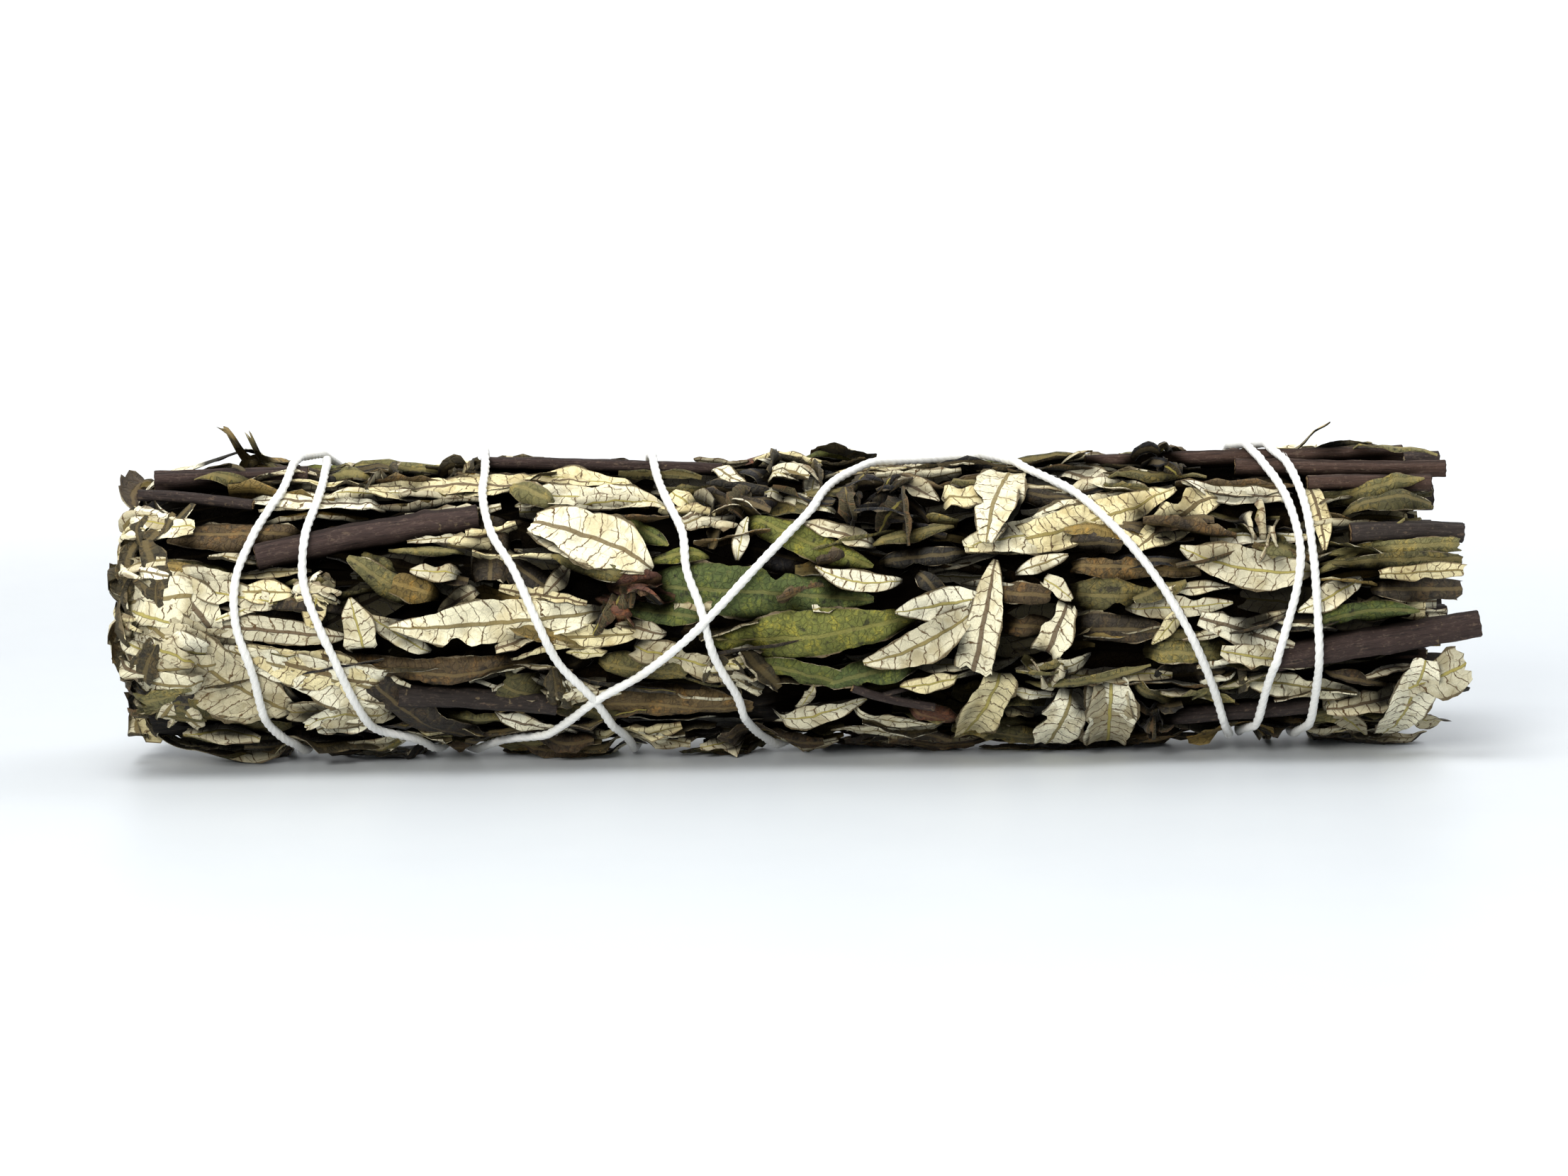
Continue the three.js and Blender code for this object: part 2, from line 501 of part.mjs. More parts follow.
// Half of a leaf's width, waved differently at its two edges
function halfWidth(leaf, s, t) {
  const share = leaf.tailCut + (1 - leaf.tailCut - leaf.tipCut) * s;
  const wave = 1 + 0.1 * Math.sin(leaf.seed * 40 + 9 * s + (t < 0 ? 2.1 : 0));
  return Math.max(0.2, 0.5 * leaf.width * outline(share) * wave);
}

// Height of a leaf's middle surface above its own midrib's height
function relief(leaf, s, t) {
  if (leaf.under) return UNDER_MIDDLE / Math.abs(Math.sin(leafPlace(leaf, s, t)[1]));
  const half = halfWidth(leaf, s, t);
  const ripple = 0.22 * Math.abs(t) * Math.sin(leaf.seed * 70 + 11 * s + (t < 0 ? 1.3 : 0));
  return leaf.tilt * t * half + leaf.cup * Math.abs(t) * half + ripple + leaf.lift * s * s;
}

// Lays a leaf on what is already there: it tips to the slope under it, and is stiff between its stations
function layLeaf(leaf) {
  let slope = 0;
  const slopeSamples = [0.25, 0.5, 0.75];
  for (const s of slopeSamples) {
    const left = pile[cell(...leafPlace(leaf, s, -0.8))];
    const right = pile[cell(...leafPlace(leaf, s, 0.8))];
    slope += (right - left) / (1.6 * halfWidth(leaf, s, 0)) / slopeSamples.length;
  }
  leaf.tilt = Math.max(-0.4, Math.min(0.4, 0.8 * slope + leaf.lean));
  const across = [-1, -0.5, 0, 0.5, 1];
  const needed = leaf.stations.map(() => 0);
  const allowed = leaf.stations.map(() => Infinity);
  for (let k = 0; k + 1 < leaf.stations.length; k++) {
    let most = 0;
    let least = Infinity;
    for (const part of [0, 0.25, 0.5, 0.75, 1]) {
      const s = leaf.stations[k] + (leaf.stations[k + 1] - leaf.stations[k]) * part;
      for (const t of across) {
        const place = leafPlace(leaf, s, t);
        const half = 0.5 * BLADE_THICKNESS * (1 - Math.abs(t));
        const raised = relief(leaf, s, t) - leaf.lift * s * s;
        most = Math.max(most, pile[cell(...place)] + LAY_GAP + half - raised);
        least = Math.min(least, limit(...place) - raised - half);
      }
    }
    needed[k] = Math.max(needed[k], most);
    needed[k + 1] = Math.max(needed[k + 1], most);
    allowed[k] = Math.min(allowed[k], least);
    allowed[k + 1] = Math.min(allowed[k + 1], least);
  }
  leaf.heights = needed.map((height, k) => (leaf.under ? 0 : Math.min(height, allowed[k])));
  pileLeaf(leaf);
}

// A leaf covers the pile with its own upper face
function pileLeaf(leaf) {
  if (leaf.lift >= 1) return;
  const steps = Math.ceil(leaf.length / 0.6);
  const rows = Math.ceil(leaf.width / 0.6);
  for (let i = 0; i <= steps; i++) {
    for (let j = -rows; j <= rows; j++) {
      const s = i / steps;
      const t = j / rows;
      const top = heightAt(leaf, s) + relief(leaf, s, t) + 0.5 * BLADE_THICKNESS * (1 - Math.abs(t));
      const c = cell(...leafPlace(leaf, s, t));
      pile[c] = Math.max(pile[c], top);
    }
  }
}

// Height of a leaf's midrib
function heightAt(leaf, s) {
  const { stations, heights } = leaf;
  let k = 0;
  while (k + 2 < stations.length && s > stations[k + 1]) k++;
  const part = (s - stations[k]) / (stations[k + 1] - stations[k]);
  return heights[k] + (heights[k + 1] - heights[k]) * part;
}

// The pile starts at the bed, or at the cores that lie below it
function clearPile(below = 0) {
  for (let i = GRID_LEFT; i <= GRID_RIGHT; i++) {
    for (let j = 0; j < GRID_AROUND; j++) pile[cell(i, j * GRID_STEP)] = bed(i, j * GRID_STEP) - below;
  }
}

// The bed gives way where the leaves stand too far out, and rises where they don't reach far enough
function pressBed() {
  const excess = new Float64Array(pile.length);
  for (let i = GRID_LEFT; i <= GRID_RIGHT; i++) {
    for (let j = 0; j < GRID_AROUND; j++) {
      const c = cell(i, j * GRID_STEP);
      excess[c] = pile[c] - outside(i, j * GRID_STEP);
      if (excess[c] > 0) excess[c] *= PEAK_WEIGHT;
    }
  }
  const reach = 4;
  for (let i = GRID_LEFT; i <= GRID_RIGHT; i++) {
    for (let j = 0; j < GRID_AROUND; j++) {
      let sum = 0;
      for (let di = -reach; di <= reach; di++) {
        for (let dj = -reach; dj <= reach; dj++) sum += excess[cell(i + di, (j + dj) * GRID_STEP)];
      }
      const c = cell(i, j * GRID_STEP);
      const mean = sum / ((2 * reach + 1) * (2 * reach + 1));
      give[c] = Math.max(LEAST_GIVE, Math.min(MOST_GIVE, give[c] + 0.7 * mean));
    }
  }
}

// A stem's centre line on the bundle
function makeStem(name, along1, around1, along2, around2, diameter, outerRadius) {
  const points = [0, 0.33, 0.67, 1].map((s) => {
    const bend = 0.02 * Math.sin(3 * s + diameter * 7);
    const around = around1 + (around2 - around1) * s + bend;
    return [along1 + (along2 - along1) * s, around, outerRadius - diameter / 2];
  });
  return { name, diameter, points };
}

// Where a stem runs round the bundle, at a place along it
function stemAround(stem, along) {
  const [first, last] = [stem.points[0], stem.points[stem.points.length - 1]];
  const s = (along - first[0]) / (last[0] - first[0]);
  return s < -0.02 || s > 1.02 ? null : first[1] + (last[1] - first[1]) * s;
}

// A stem covers the pile with its outer side
function pileStem(stem) {
  const [first, last] = [stem.points[0], stem.points[stem.points.length - 1]];
  const half = stem.diameter / 2;
  for (let along = Math.ceil(first[0]); along <= last[0]; along++) {
    const around = stemAround(stem, along);
    for (let off = -half; off <= half; off += 0.4) {
      const c = cell(along, around + off / SEEN_RADIUS);
      pile[c] = Math.max(pile[c], first[2] + Math.sqrt(half * half - off * off));
    }
  }
}

// A round rod along a line, with flat ends
function rod(points, diameter, sides, steps) {
  const section = new THREE.Shape();
  for (let i = 0; i <= sides; i++) {
    const a = (2 * Math.PI * i) / sides;
    const [x, y] = [(Math.cos(a) * diameter) / 2, (Math.sin(a) * diameter) / 2];
    if (i === 0) section.moveTo(x, y);
    else if (i < sides) section.lineTo(x, y);
    else section.closePath();
  }
  const extrudePath = new THREE.CatmullRomCurve3(points, false, "centripetal");
  extrudePath.arcLengthDivisions = 10 * steps;
  return new THREE.ExtrudeGeometry(section, { steps, extrudePath, bevelEnabled: false });
}

function stemSolid(stem, grow) {
  const line = stem.points.map(([along, around, radius]) =>
    point(Math.max(along, SHOULDER_X), around, radius).setX(along));
  const direction = line[line.length - 1].clone().sub(line[0]).normalize();
  line[0].addScaledVector(direction, -grow);
  line[line.length - 1].addScaledVector(direction, grow);
  return solidOf(rod(line, stem.diameter + 2 * grow, 8, 3));
}

// Where a leaf's end can dive into the core without meeting a stem, and which leafy stem it grows on. A leaf
// whose tip stands off dives in at its tail.
function rootOf(leaf, stems) {
  const ends = leaf.lift > 0 ? [0] : [0, 1];
  for (const shift of [0, 2.5, -2.5, 5, -5, 7.5, -7.5]) {
    for (const s of ends) {
      const [along, middle] = leafPlace(leaf, s, 0);
      let around = middle + shift / SEEN_RADIUS;
      if (along < SHOULDER_X || along > CORE_RIGHT - 2) continue;
      const near = stems.some((stem) => {
        const a = stemAround(stem, along);
        return a !== null && Math.abs(Math.sin((a - around) / 2)) * 2 * BED_RADIUS < stem.diameter / 2 + 1;
      });
      if (near) continue;
      const owner = ownerOf(along, around);
      if (owner.fromLow < 1.6) around += (1.6 - owner.fromLow) / BED_RADIUS;
      if (owner.fromHigh < 1.6) around -= (1.6 - owner.fromHigh) / BED_RADIUS;
      return { s, along, around, number: owner.number };
    }
  }
  return null;
}

// A blade is thickest at its midrib, and both its faces are split into triangles alike. Its rooted end runs
// down into the core.
function bladeSolid(leaf, grow) {
  const thick = 0.5 * BLADE_THICKNESS + grow;
  const rings = leaf.stations.map((s) => {
    if (s === leaf.root.s) return rootRing(leaf, grow);
    const height = heightAt(leaf, s);
    const at = (t, lift) => point(...leafPlace(leaf, s, t, grow), height + relief(leaf, s, t) + lift);
    const middle = [at(0, thick), at(0, -thick)];
    if (grow > 0) return [at(-1, grow), middle[0], at(1, grow), at(1, -grow), middle[1], at(-1, -grow)];
    return [at(-1, 0), middle[0], at(1, 0), middle[1]];
  });
  return solidOf(loft(rings, [1, grow > 0 ? 4 : 3]));
}

// The small end of a leaf, sunk in the core
function rootRing(leaf, grow) {
  const size = ROOT_SIZE + grow;
  const { along, around } = leaf.root;
  const radius = bed(along, around) - ROOT_DEPTH;
  const [ex, ea] = leaf.forward;
  const at = (t, lift) =>
    point(along - ea * t * size, around + (ex * t * size) / SEEN_RADIUS, radius + lift);
  if (grow > 0) return [at(-1, grow), at(0, size), at(1, grow), at(1, -grow), at(0, -size), at(-1, -grow)];
  return [at(-1, 0), at(0, size), at(1, 0), at(0, -size)];
}

// The pressed leaves and wood between two walls, which the outer leaves grow out of
function coreSolid(number) {
  const stations = 15;
  const rings = [];
  for (let k = 0; k < stations; k++) {
    const x = CORE_LEFT + ((CORE_RIGHT - CORE_LEFT) * k) / (stations - 1);
    const low = wallAngle(number, x);
    const high = number + 1 < LEAFY_STEMS ? wallAngle(number + 1, x) : wallAngle(0, x) + 2 * Math.PI;
    const over = Math.max(0, SHOULDER_X - x);
    const drop = SHOULDER_RADIUS - Math.sqrt(SHOULDER_RADIUS * SHOULDER_RADIUS - over * over);
    const ring = [];
    for (const share of [0, 0.25, 0.5, 0.75, 1]) {
      const a = low + (high - low) * share;
      const crease = share > 0 && share < 1 ? CORE_CREASE * Math.sin(9.7 * k + 40 * share + 3 * number) : 0;
      const down = Math.max(0.1, -Math.sin(a));
      const lowest = down > 0.6 ? Math.min(BED_RADIUS, UNDERSIDE_CORE / down) : 0;
      const radius = Math.max(lowest, bed(x, a) - CORE_BELOW_BED) - drop - Math.max(0, crease);
      const inset = (share < 0.5 ? 1 : -1) * (share === 0.5 ? 0 : WALL_INSET / radius);
      ring.push(new THREE.Vector3(x, -radius * Math.cos(a + inset), radius * Math.sin(a + inset)));
    }
    for (const share of [1, 0.5, 0]) {
      const a = low + (high - low) * share;
      const inset = (0.5 - share) * 2 * (WALL_INSET / BORE_RADIUS);
      ring.push(new THREE.Vector3(x, -BORE_RADIUS * Math.cos(a + inset), BORE_RADIUS * Math.sin(a + inset)));
    }
    rings.push(ring);
  }
  return solidOf(loft(rings));
}

// The leafy stem's own wood, which shows at its cut end
function butt(number) {
  const x = CORE_RIGHT + 3 + 3 * Math.sin(number * 2.4);
  const around = (wallAngle(number, x) + (2 * Math.PI) / LEAFY_STEMS / 2) % (2 * Math.PI);
  const line = [x - 60, x - 30, x].map((along) => point(along, around, 15));
  return solidOf(rod(line, 4.4 + 0.5 * Math.cos(number * 1.7), 8, 2));
}

// The string's route, front passes joined round the back, as places along and around
function stringRoute() {
  const route = [[KNOT_X - KNOT_ENDS_APART / 2, KNOT_AROUND - 2 * Math.PI]];
  STRING_PASSES.forEach((pass, number) => {
    for (const [x, height] of pass) route.push([x, aroundOf(x, height) + 2 * Math.PI * number]);
    if (STRING_BACKS[number] !== null) route.push([STRING_BACKS[number], Math.PI + 2 * Math.PI * number]);
  });
  route.push([KNOT_X + KNOT_ENDS_APART / 2, KNOT_AROUND + 2 * Math.PI * (STRING_PASSES.length - 1)]);
  const flat = route.map(([x, a]) => new THREE.Vector3(x, a * SEEN_RADIUS, 0));
  return new THREE.CatmullRomCurve3(flat, false, "centripetal");
}

// The places that the string runs over or near
function markString() {
  for (const place of stringRoute().getPoints(4000)) {
    const around = place.y / SEEN_RADIUS;
    for (let dx = -3; dx <= 3; dx++) {
      for (let da = -2; da <= 2; da++) stringCells[cell(place.x + dx, around + da * GRID_STEP)] = 1;
    }
  }
}

// The route laid on the pile: pulled straight over its hollows, and over its own earlier turns
function stringLine() {
  const curve = stringRoute();
  curve.arcLengthDivisions = 3000;
  const places = curve.getSpacedPoints(Math.ceil(curve.getLength())).map((p) => [p.x, p.y / SEEN_RADIUS]);
  const under = places.map(([x, a]) => {
    let most = 0;
    for (const dx of [-0.8, 0, 0.8]) {
      for (const da of [-0.8, 0, 0.8]) most = Math.max(most, pile[cell(x + dx, a + da / SEEN_RADIUS)]);
    }
    return most + LAY_GAP + STRING_DIAMETER / 2;
  });
  const stations = places.map((_, i) => i).filter((i) => i % STRING_STEP === 0);
  const near = STRING_STEP / 2 + 1;
  const heights = stations.map((i) => Math.max(...under.slice(Math.max(0, i - near), i + near + 1)));
  pullStraight(heights);
  climbOwnTurns(places, heights);
  return stations.map((i, k) => {
    const p = point(places[i][0], places[i][1], heights[k]);
    p.z = Math.max(p.z, STRING_DIAMETER / 2 + STRING_OFF_FLOOR - FLOOR_BELOW_AXIS);
    return p;
  });
}

// Between two neighbours a straight string runs a little nearer to the axis than they do
function pullStraight(heights) {
  const sag = SEEN_RADIUS * (1 - Math.cos(STRING_STEP / SEEN_RADIUS));
  for (let pass = 0; pass < 3; pass++) {
    const before = [...heights];
    for (let k = 1; k + 1 < heights.length; k++) {
      heights[k] = Math.max(heights[k], 0.5 * (before[k - 1] + before[k + 1]) - sag);
    }
  }
}

// A later turn runs over the earlier ones that it meets
function climbOwnTurns(places, heights) {
  const drop = STRING_SLOPE * STRING_STEP;
  const apart = STRING_DIAMETER + LAY_GAP;
  for (let later = 1; later + 1 < heights.length; later++) {
    for (let earlier = 0; earlier < later - 6; earlier++) {
      const [p, q] = [places[later * STRING_STEP], places[earlier * STRING_STEP]];
      const turn = Math.abs(Math.sin((p[1] - q[1]) / 2)) * 2 * SEEN_RADIUS;
      const away = Math.hypot(p[0] - q[0], turn);
      if (away > 1.6 * STRING_STEP) continue;
      if (away > apart && !crosses(places, later, earlier)) continue;
      const top = Math.max(heights[earlier - 1] || 0, heights[earlier], heights[earlier + 1]) + apart;
      heights[later] = Math.max(heights[later], top);
      heights[later - 1] = Math.max(heights[later - 1], top - drop);
      heights[later + 1] = Math.max(heights[later + 1], top);
      if (later + 2 < heights.length) heights[later + 2] = Math.max(heights[later + 2], top - drop);
    }
  }
}

// Whether two turns cross within a step of these stations, seen from outside
function crosses(places, later, earlier) {
  let left = false;
  let right = false;
  const e1 = places[Math.max(0, (earlier - 1) * STRING_STEP)];
  const e2 = places[Math.min(places.length - 1, (earlier + 1) * STRING_STEP)];
  for (let i = (later - 1) * STRING_STEP; i <= (later + 1) * STRING_STEP; i++) {
    const p = places[Math.min(places.length - 1, i)];
    const full = 2 * Math.PI;
    const near = (a) => (((a - p[1] + Math.PI) % full) + full) % full - Math.PI;
    const [u1, v1] = [e1[0] - p[0], near(e1[1]) * SEEN_RADIUS];
    const [u2, v2] = [e2[0] - p[0], near(e2[1]) * SEEN_RADIUS];
    const side = (u1 * v2 - u2 * v1) / Math.hypot(u2 - u1, v2 - v1);
    if (side > -1.9) right = true;
    if (side < 1.9) left = true;
  }
  return left && right;
}

// The room that the leaves leave for the string
function stringRoom(line) {
  return solidOf(rod(line, STRING_DIAMETER + 2 * CLEARANCE, STRING_SIDES, line.length - 1));
}

// The string with its knot on the back and the knot's two short tails
function stringSolid(line) {
  const parts = [solidOf(rod(line, STRING_DIAMETER, STRING_SIDES, line.length - 1))];
  const end = line[0].clone().add(line[line.length - 1]).multiplyScalar(0.5);
  const outwards = new THREE.Vector3(0, end.y, end.z).normalize();
  for (const turn of [0.5, 2.1]) {
    const ring = new THREE.TorusGeometry(KNOT_RADIUS, STRING_DIAMETER / 2, 5, 8);
    ring.rotateX(turn).rotateY(turn / 2);
    const centre = end.clone().addScaledVector(outwards, 0.5);
    parts.push(solidOf(ring.translate(centre.x, centre.y, centre.z)));
  }
  for (const [dx, dz] of KNOT_TAILS) {
    const tail = [0, 0.5, 1].map((s) => end.clone().add(new THREE.Vector3(dx * s, 0, dz * s)));
    const reach = Math.hypot(end.y, end.z) + 0.4;
    tail.forEach((p) => {
      const stretch = reach / Math.hypot(p.y, p.z);
      p.y *= stretch;
      p.z *= stretch;
    });
    parts.push(solidOf(rod(tail, STRING_DIAMETER, STRING_SIDES, 2)));
  }
  return largest(wasm.Manifold.union(parts));
}

// The straight stems in the middle of the bundle, one in the centre and six round it
function innerStems() {
  const spacing = 5.8;
  const stems = [];
  for (let i = 0; i < 7; i++) {
    const turn = (Math.PI / 3) * i + 0.2;
    const radius = i === 0 ? 0 : spacing;
    const diameter = 5.1 - 0.35 * Math.abs(Math.sin(i * 2.1));
    const [left, right] = [-99 - 2 * Math.sin(i * 1.3), 104 + 3.2 * Math.sin(i * 2.7)];
    const geometry = new THREE.CylinderGeometry(diameter / 2, diameter / 2, right - left, 8);
    geometry.rotateZ(-Math.PI / 2);
    geometry.translate((left + right) / 2, -radius * Math.cos(turn), radius * Math.sin(turn));
    stems.push({ name: `inner_stem_${i + 1}`, geometry });
  }
  return stems;
}

// Stems first, then every leaf in its turn, then the string over all
const stems = [
  ...FRONT_STEMS.map(([x1, h1, x2, h2, diameter, outer], i) =>
    makeStem(`front_stem_${i + 1}`, x1, aroundOf(x1, h1), x2, aroundOf(x2, h2), diameter, outer)),
  ...BACK_STEMS.map(([x1, x2, degrees, drift, diameter, outer], i) => {
    const around = THREE.MathUtils.degToRad(degrees);
    const end = around + THREE.MathUtils.degToRad(drift);
    return makeStem(`back_stem_${i + 1}`, x1, around, x2, end, diameter, outer);
  }),
];

function ruleLeaves() {
  const made = [];
  for (let column = 0; column < RULE_COLUMNS; column++) {
    for (let row = 0; row < RULE_ROWS; row++) {
      const share = (column + 0.5 * (row % 2) + between(-0.25, 0.25)) / RULE_COLUMNS;
      const middle = RULE_LEFT + (RULE_RIGHT - RULE_LEFT) * share;
      const around = RULE_FROM + ((RULE_TO - RULE_FROM) * (row + 0.5 + between(-0.3, 0.3))) / RULE_ROWS;
      const steep = random() < 0.15 ? between(0.8, 1.3) : between(0, 0.42);
      const turn = random() < 0.5 ? steep : -steep;
      const length = steep > 0.8 ? between(16, 22) : between(27, 42);
      const width = between(6.2, 9.6);
      const face = RULE_FACES[Math.floor(random() * RULE_FACES.length)];
      const flip = random() < 0.5 ? 1 : -1;
      const half = (flip * length) / 2;
      const [dx, da] = [half * Math.cos(turn), (half * Math.sin(turn)) / SEEN_RADIUS];
      const cut = random() < 0.25 ? 0.3 : 0.03;
      const [from, to] = [middle + dx, middle - dx].map((x) => Math.min(RULE_FURTHEST, x));
      const bow = between(-1.2, 1.2);
      made.push(makeLeaf(face, from, around + da, to, around - da, width, bow, 0.03, cut, 0));
    }
  }
  return made;
}

function underLeaves() {
  return UNDER_LEAVES.map(([x, degrees, length, width, turnDegrees, face]) => {
    const around = THREE.MathUtils.degToRad(degrees);
    const turn = THREE.MathUtils.degToRad(turnDegrees);
    const [dx, da] = [(Math.cos(turn) * length) / 2, (Math.sin(turn) * length) / 2 / SEEN_RADIUS];
    const leaf = makeLeaf(face, x + dx, around + da, x - dx, around - da, width, 0, 0.05, 0.1, 0);
    return { ...leaf, under: true };
  });
}

function endLeaves() {
  const made = [];
  for (let i = 0; i < END_LEAVES; i++) {
    const around = RULE_FROM - 0.1 + ((RULE_TO - RULE_FROM + 0.3) * (i + between(0.3, 0.7))) / END_LEAVES;
    const start = between(-92, -84);
    const face = RULE_FACES[Math.floor(random() * RULE_FACES.length)];
    const end = start - between(24, 32);
    const drift = between(-0.25, 0.25);
    made.push(makeLeaf(face, start, around, end, around + drift, between(7, 11), 0, 0.03, 0.1, 0));
  }
  return made;
}

const frontLeaves = FRONT_LEAVES.map((row) => {
  const [face, x1, h1, x2, h2, width, bow, tailCut = 0.03, tipCut = 0.02, lift = 0] = row;
  return makeLeaf(face, x1, aroundOf(x1, h1), x2, aroundOf(x2, h2), width, bow, tailCut, tipCut, lift);
});
const leaves = [...ruleLeaves(), ...endLeaves(), ...frontLeaves, ...underLeaves()];
markString();
for (let pressing = 0; pressing <= PRESSINGS; pressing++) {
  clearPile();
  stems.forEach(pileStem);
  leaves.filter((leaf) => !leaf.under).forEach(layLeaf);
  if (pressing < PRESSINGS) pressBed();
}
leaves.filter((leaf) => leaf.under).forEach(layLeaf);

// The share of a leaf that no later leaf covers
function shows(leaf) {
  let seen = 0;
  let all = 0;
  for (const s of [0.2, 0.35, 0.5, 0.65, 0.8]) {
    for (const t of [-0.6, 0, 0.6]) {
      const top = heightAt(leaf, s) + relief(leaf, s, t) + 0.5 * BLADE_THICKNESS * (1 - Math.abs(t));
      all += 1;
      if (pile[cell(...leafPlace(leaf, s, t))] < top + LAY_GAP) seen += 1;
    }
  }
  return seen / all;
}

// Tips that stand off the bundle are modelled at any size, and other leaves from a limit on
const large = leaves.filter((leaf) => leaf.lift > 0 || leaf.length * leaf.width > MODELLED_LEAF_AREA);
const modelled = large.filter((leaf) => leaf.lift > 0 || shows(leaf) > LEAST_SHOWING);
modelled.forEach((leaf) => {
  leaf.root = rootOf(leaf, stems);
});
const rooted = modelled.filter((leaf) => leaf.root);
rooted.forEach((leaf) => {
  leaf.solid = bladeSolid(leaf, 0);
  leaf.room = bladeSolid(leaf, CLEARANCE);
});

const stemRoom = wasm.Manifold.union(stems.map((stem) => stemSolid(stem, CLEARANCE)));
clearPile(CORE_BELOW_BED);
stems.forEach(pileStem);
rooted.forEach(pileLeaf);
const stringPath = stringLine();
const string = stringSolid(stringPath);
const roomForString = stringRoom(stringPath);

const overlaps = (a, b) => {
  const [p, q] = [a.boundingBox(), b.boundingBox()];
  return [0, 1, 2].every((i) => p.min[i] <= q.max[i] && q.min[i] <= p.max[i]);
};

// One leafy stem: its core and every leaf that grows on it, clear of the stems and of later leaves of others
function leafyStem(number) {
  const own = rooted.filter((leaf) => leaf.root.number === number);
  const others = rooted.filter((leaf) => leaf.root.number !== number);
  const core = wasm.Manifold.union([coreSolid(number), butt(number)]);
  const foreign = others.filter((leaf) => overlaps(leaf.room, core));
  const parts = [core.subtract(wasm.Manifold.union(foreign.map((leaf) => leaf.room)))];
  for (const leaf of own) {
    const laterOf = others.filter((other) => leaves.indexOf(other) > leaves.indexOf(leaf));
    const rooms = laterOf.map((other) => other.room).filter((room) => overlaps(room, leaf.solid));
    parts.push(rooms.length ? leaf.solid.subtract(wasm.Manifold.union(rooms)) : leaf.solid);
  }
  let joined = wasm.Manifold.union(parts).subtract(stemRoom);
  if (joined.intersect(string).volume() > 0) joined = joined.subtract(roomForString);
  return largest(joined.trimByPlane([0, 0, 1], -FLOOR_BELOW_AXIS));
}

// Where a piece still meets a neighbour, a small block is cut out of it
function keepApart(piece, neighbour) {
  let kept = piece;
  for (const scrap of piece.intersect(neighbour).decompose()) {
    const { min, max } = scrap.boundingBox();
    const [low, high] = [new THREE.Vector3(...min), new THREE.Vector3(...max)];
    const size = high.clone().sub(low).addScalar(2 * CLEARANCE);
    const middle = low.add(high).multiplyScalar(0.5);
    const block = new THREE.BoxGeometry(size.x, size.y, size.z).translate(middle.x, middle.y, middle.z);
    kept = kept.subtract(solidOf(block));
  }
  return largest(kept);
}

const bundle = new THREE.Group();
bundle.position.set(0, 0, FLOOR_BELOW_AXIS);

function addMesh(name, geometry, color) {
  const material = new THREE.MeshStandardMaterial({ color, roughness: ROUGHNESS, metalness: 0 });
  const mesh = new THREE.Mesh(geometry, material);
  mesh.name = name;
  bundle.add(mesh);
}

const leafyStems = [];
for (let number = 0; number < LEAFY_STEMS; number++) {
  leafyStems.push(leafyStems.reduce(keepApart, leafyStem(number)));
}
leafyStems.forEach((solid, i) => addMesh(`leafy_stem_${i + 1}`, geometryOf(solid), COLOURS.core));
for (const stem of stems) addMesh(stem.name, geometryOf(stemSolid(stem, 0)), COLOURS.bark);
for (const { name, geometry } of innerStems()) addMesh(name, geometry, COLOURS.bark);
addMesh("string", geometryOf(string), COLOURS.string);
const middle = new THREE.Box3().setFromObject(bundle).getCenter(new THREE.Vector3());
bundle.position.x -= middle.x;
bundle.position.y -= middle.y;

export default bundle;
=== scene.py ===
# Looks of a yerba santa smudge stick: dried leaves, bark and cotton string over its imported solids.
# Lengths are in millimetres until a mesh is made. The bundle lies along X, cut stems towards +X.
import math

import bpy
import numpy as np
from mathutils import Matrix, Vector


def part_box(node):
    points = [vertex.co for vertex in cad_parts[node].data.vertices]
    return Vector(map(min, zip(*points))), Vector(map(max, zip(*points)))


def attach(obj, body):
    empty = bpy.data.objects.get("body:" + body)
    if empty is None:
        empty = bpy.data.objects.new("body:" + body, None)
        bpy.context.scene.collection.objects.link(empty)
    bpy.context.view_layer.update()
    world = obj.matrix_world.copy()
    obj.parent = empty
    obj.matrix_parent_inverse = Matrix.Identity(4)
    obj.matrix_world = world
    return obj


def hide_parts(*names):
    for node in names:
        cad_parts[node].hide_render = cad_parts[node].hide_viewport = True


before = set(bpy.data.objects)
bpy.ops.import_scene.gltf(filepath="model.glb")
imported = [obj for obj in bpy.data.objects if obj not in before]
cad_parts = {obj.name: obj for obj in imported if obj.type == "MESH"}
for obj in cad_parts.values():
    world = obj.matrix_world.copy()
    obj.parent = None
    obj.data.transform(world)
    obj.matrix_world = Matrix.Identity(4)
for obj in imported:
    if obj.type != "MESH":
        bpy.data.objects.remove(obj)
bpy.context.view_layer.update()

# Dimensions that the solids have too
FLOOR_BELOW_AXIS = 25.2
BED_RADIUS = 21.5
CORE_BELOW_BED = 2.4
CORE_LEFT = -104
CORE_RIGHT = 100
SHOULDER_X = -98
SHOULDER_RADIUS = 7
LEAFY_STEMS = 8
OUTSIDE_RADIUS = 24.7
UNDERSIDE_ROOM = 2.4
MOST_GIVE = 8
LEAST_GIVE = -0.5
PRESSINGS = 6
PEAK_WEIGHT = 1.7
MOST_ABOVE = 1
STRING_PRESSES = 1.7
MOST_ABOVE_PRESSED = 0
UNDERSIDE_GAP = 0.2
UNDERSIDE_CORE = 22.1
UNDERSIDE_FROM = 0.6
BLADE_THICKNESS = 1.2
LAY_GAP = 0.3
SHORT_LEAF = 21
LONG_LEAF = 36
LONG_STATIONS = [0, 0.15, 0.4, 0.65, 0.88, 1]
MIDDLE_STATIONS = [0, 0.2, 0.5, 0.8, 1]
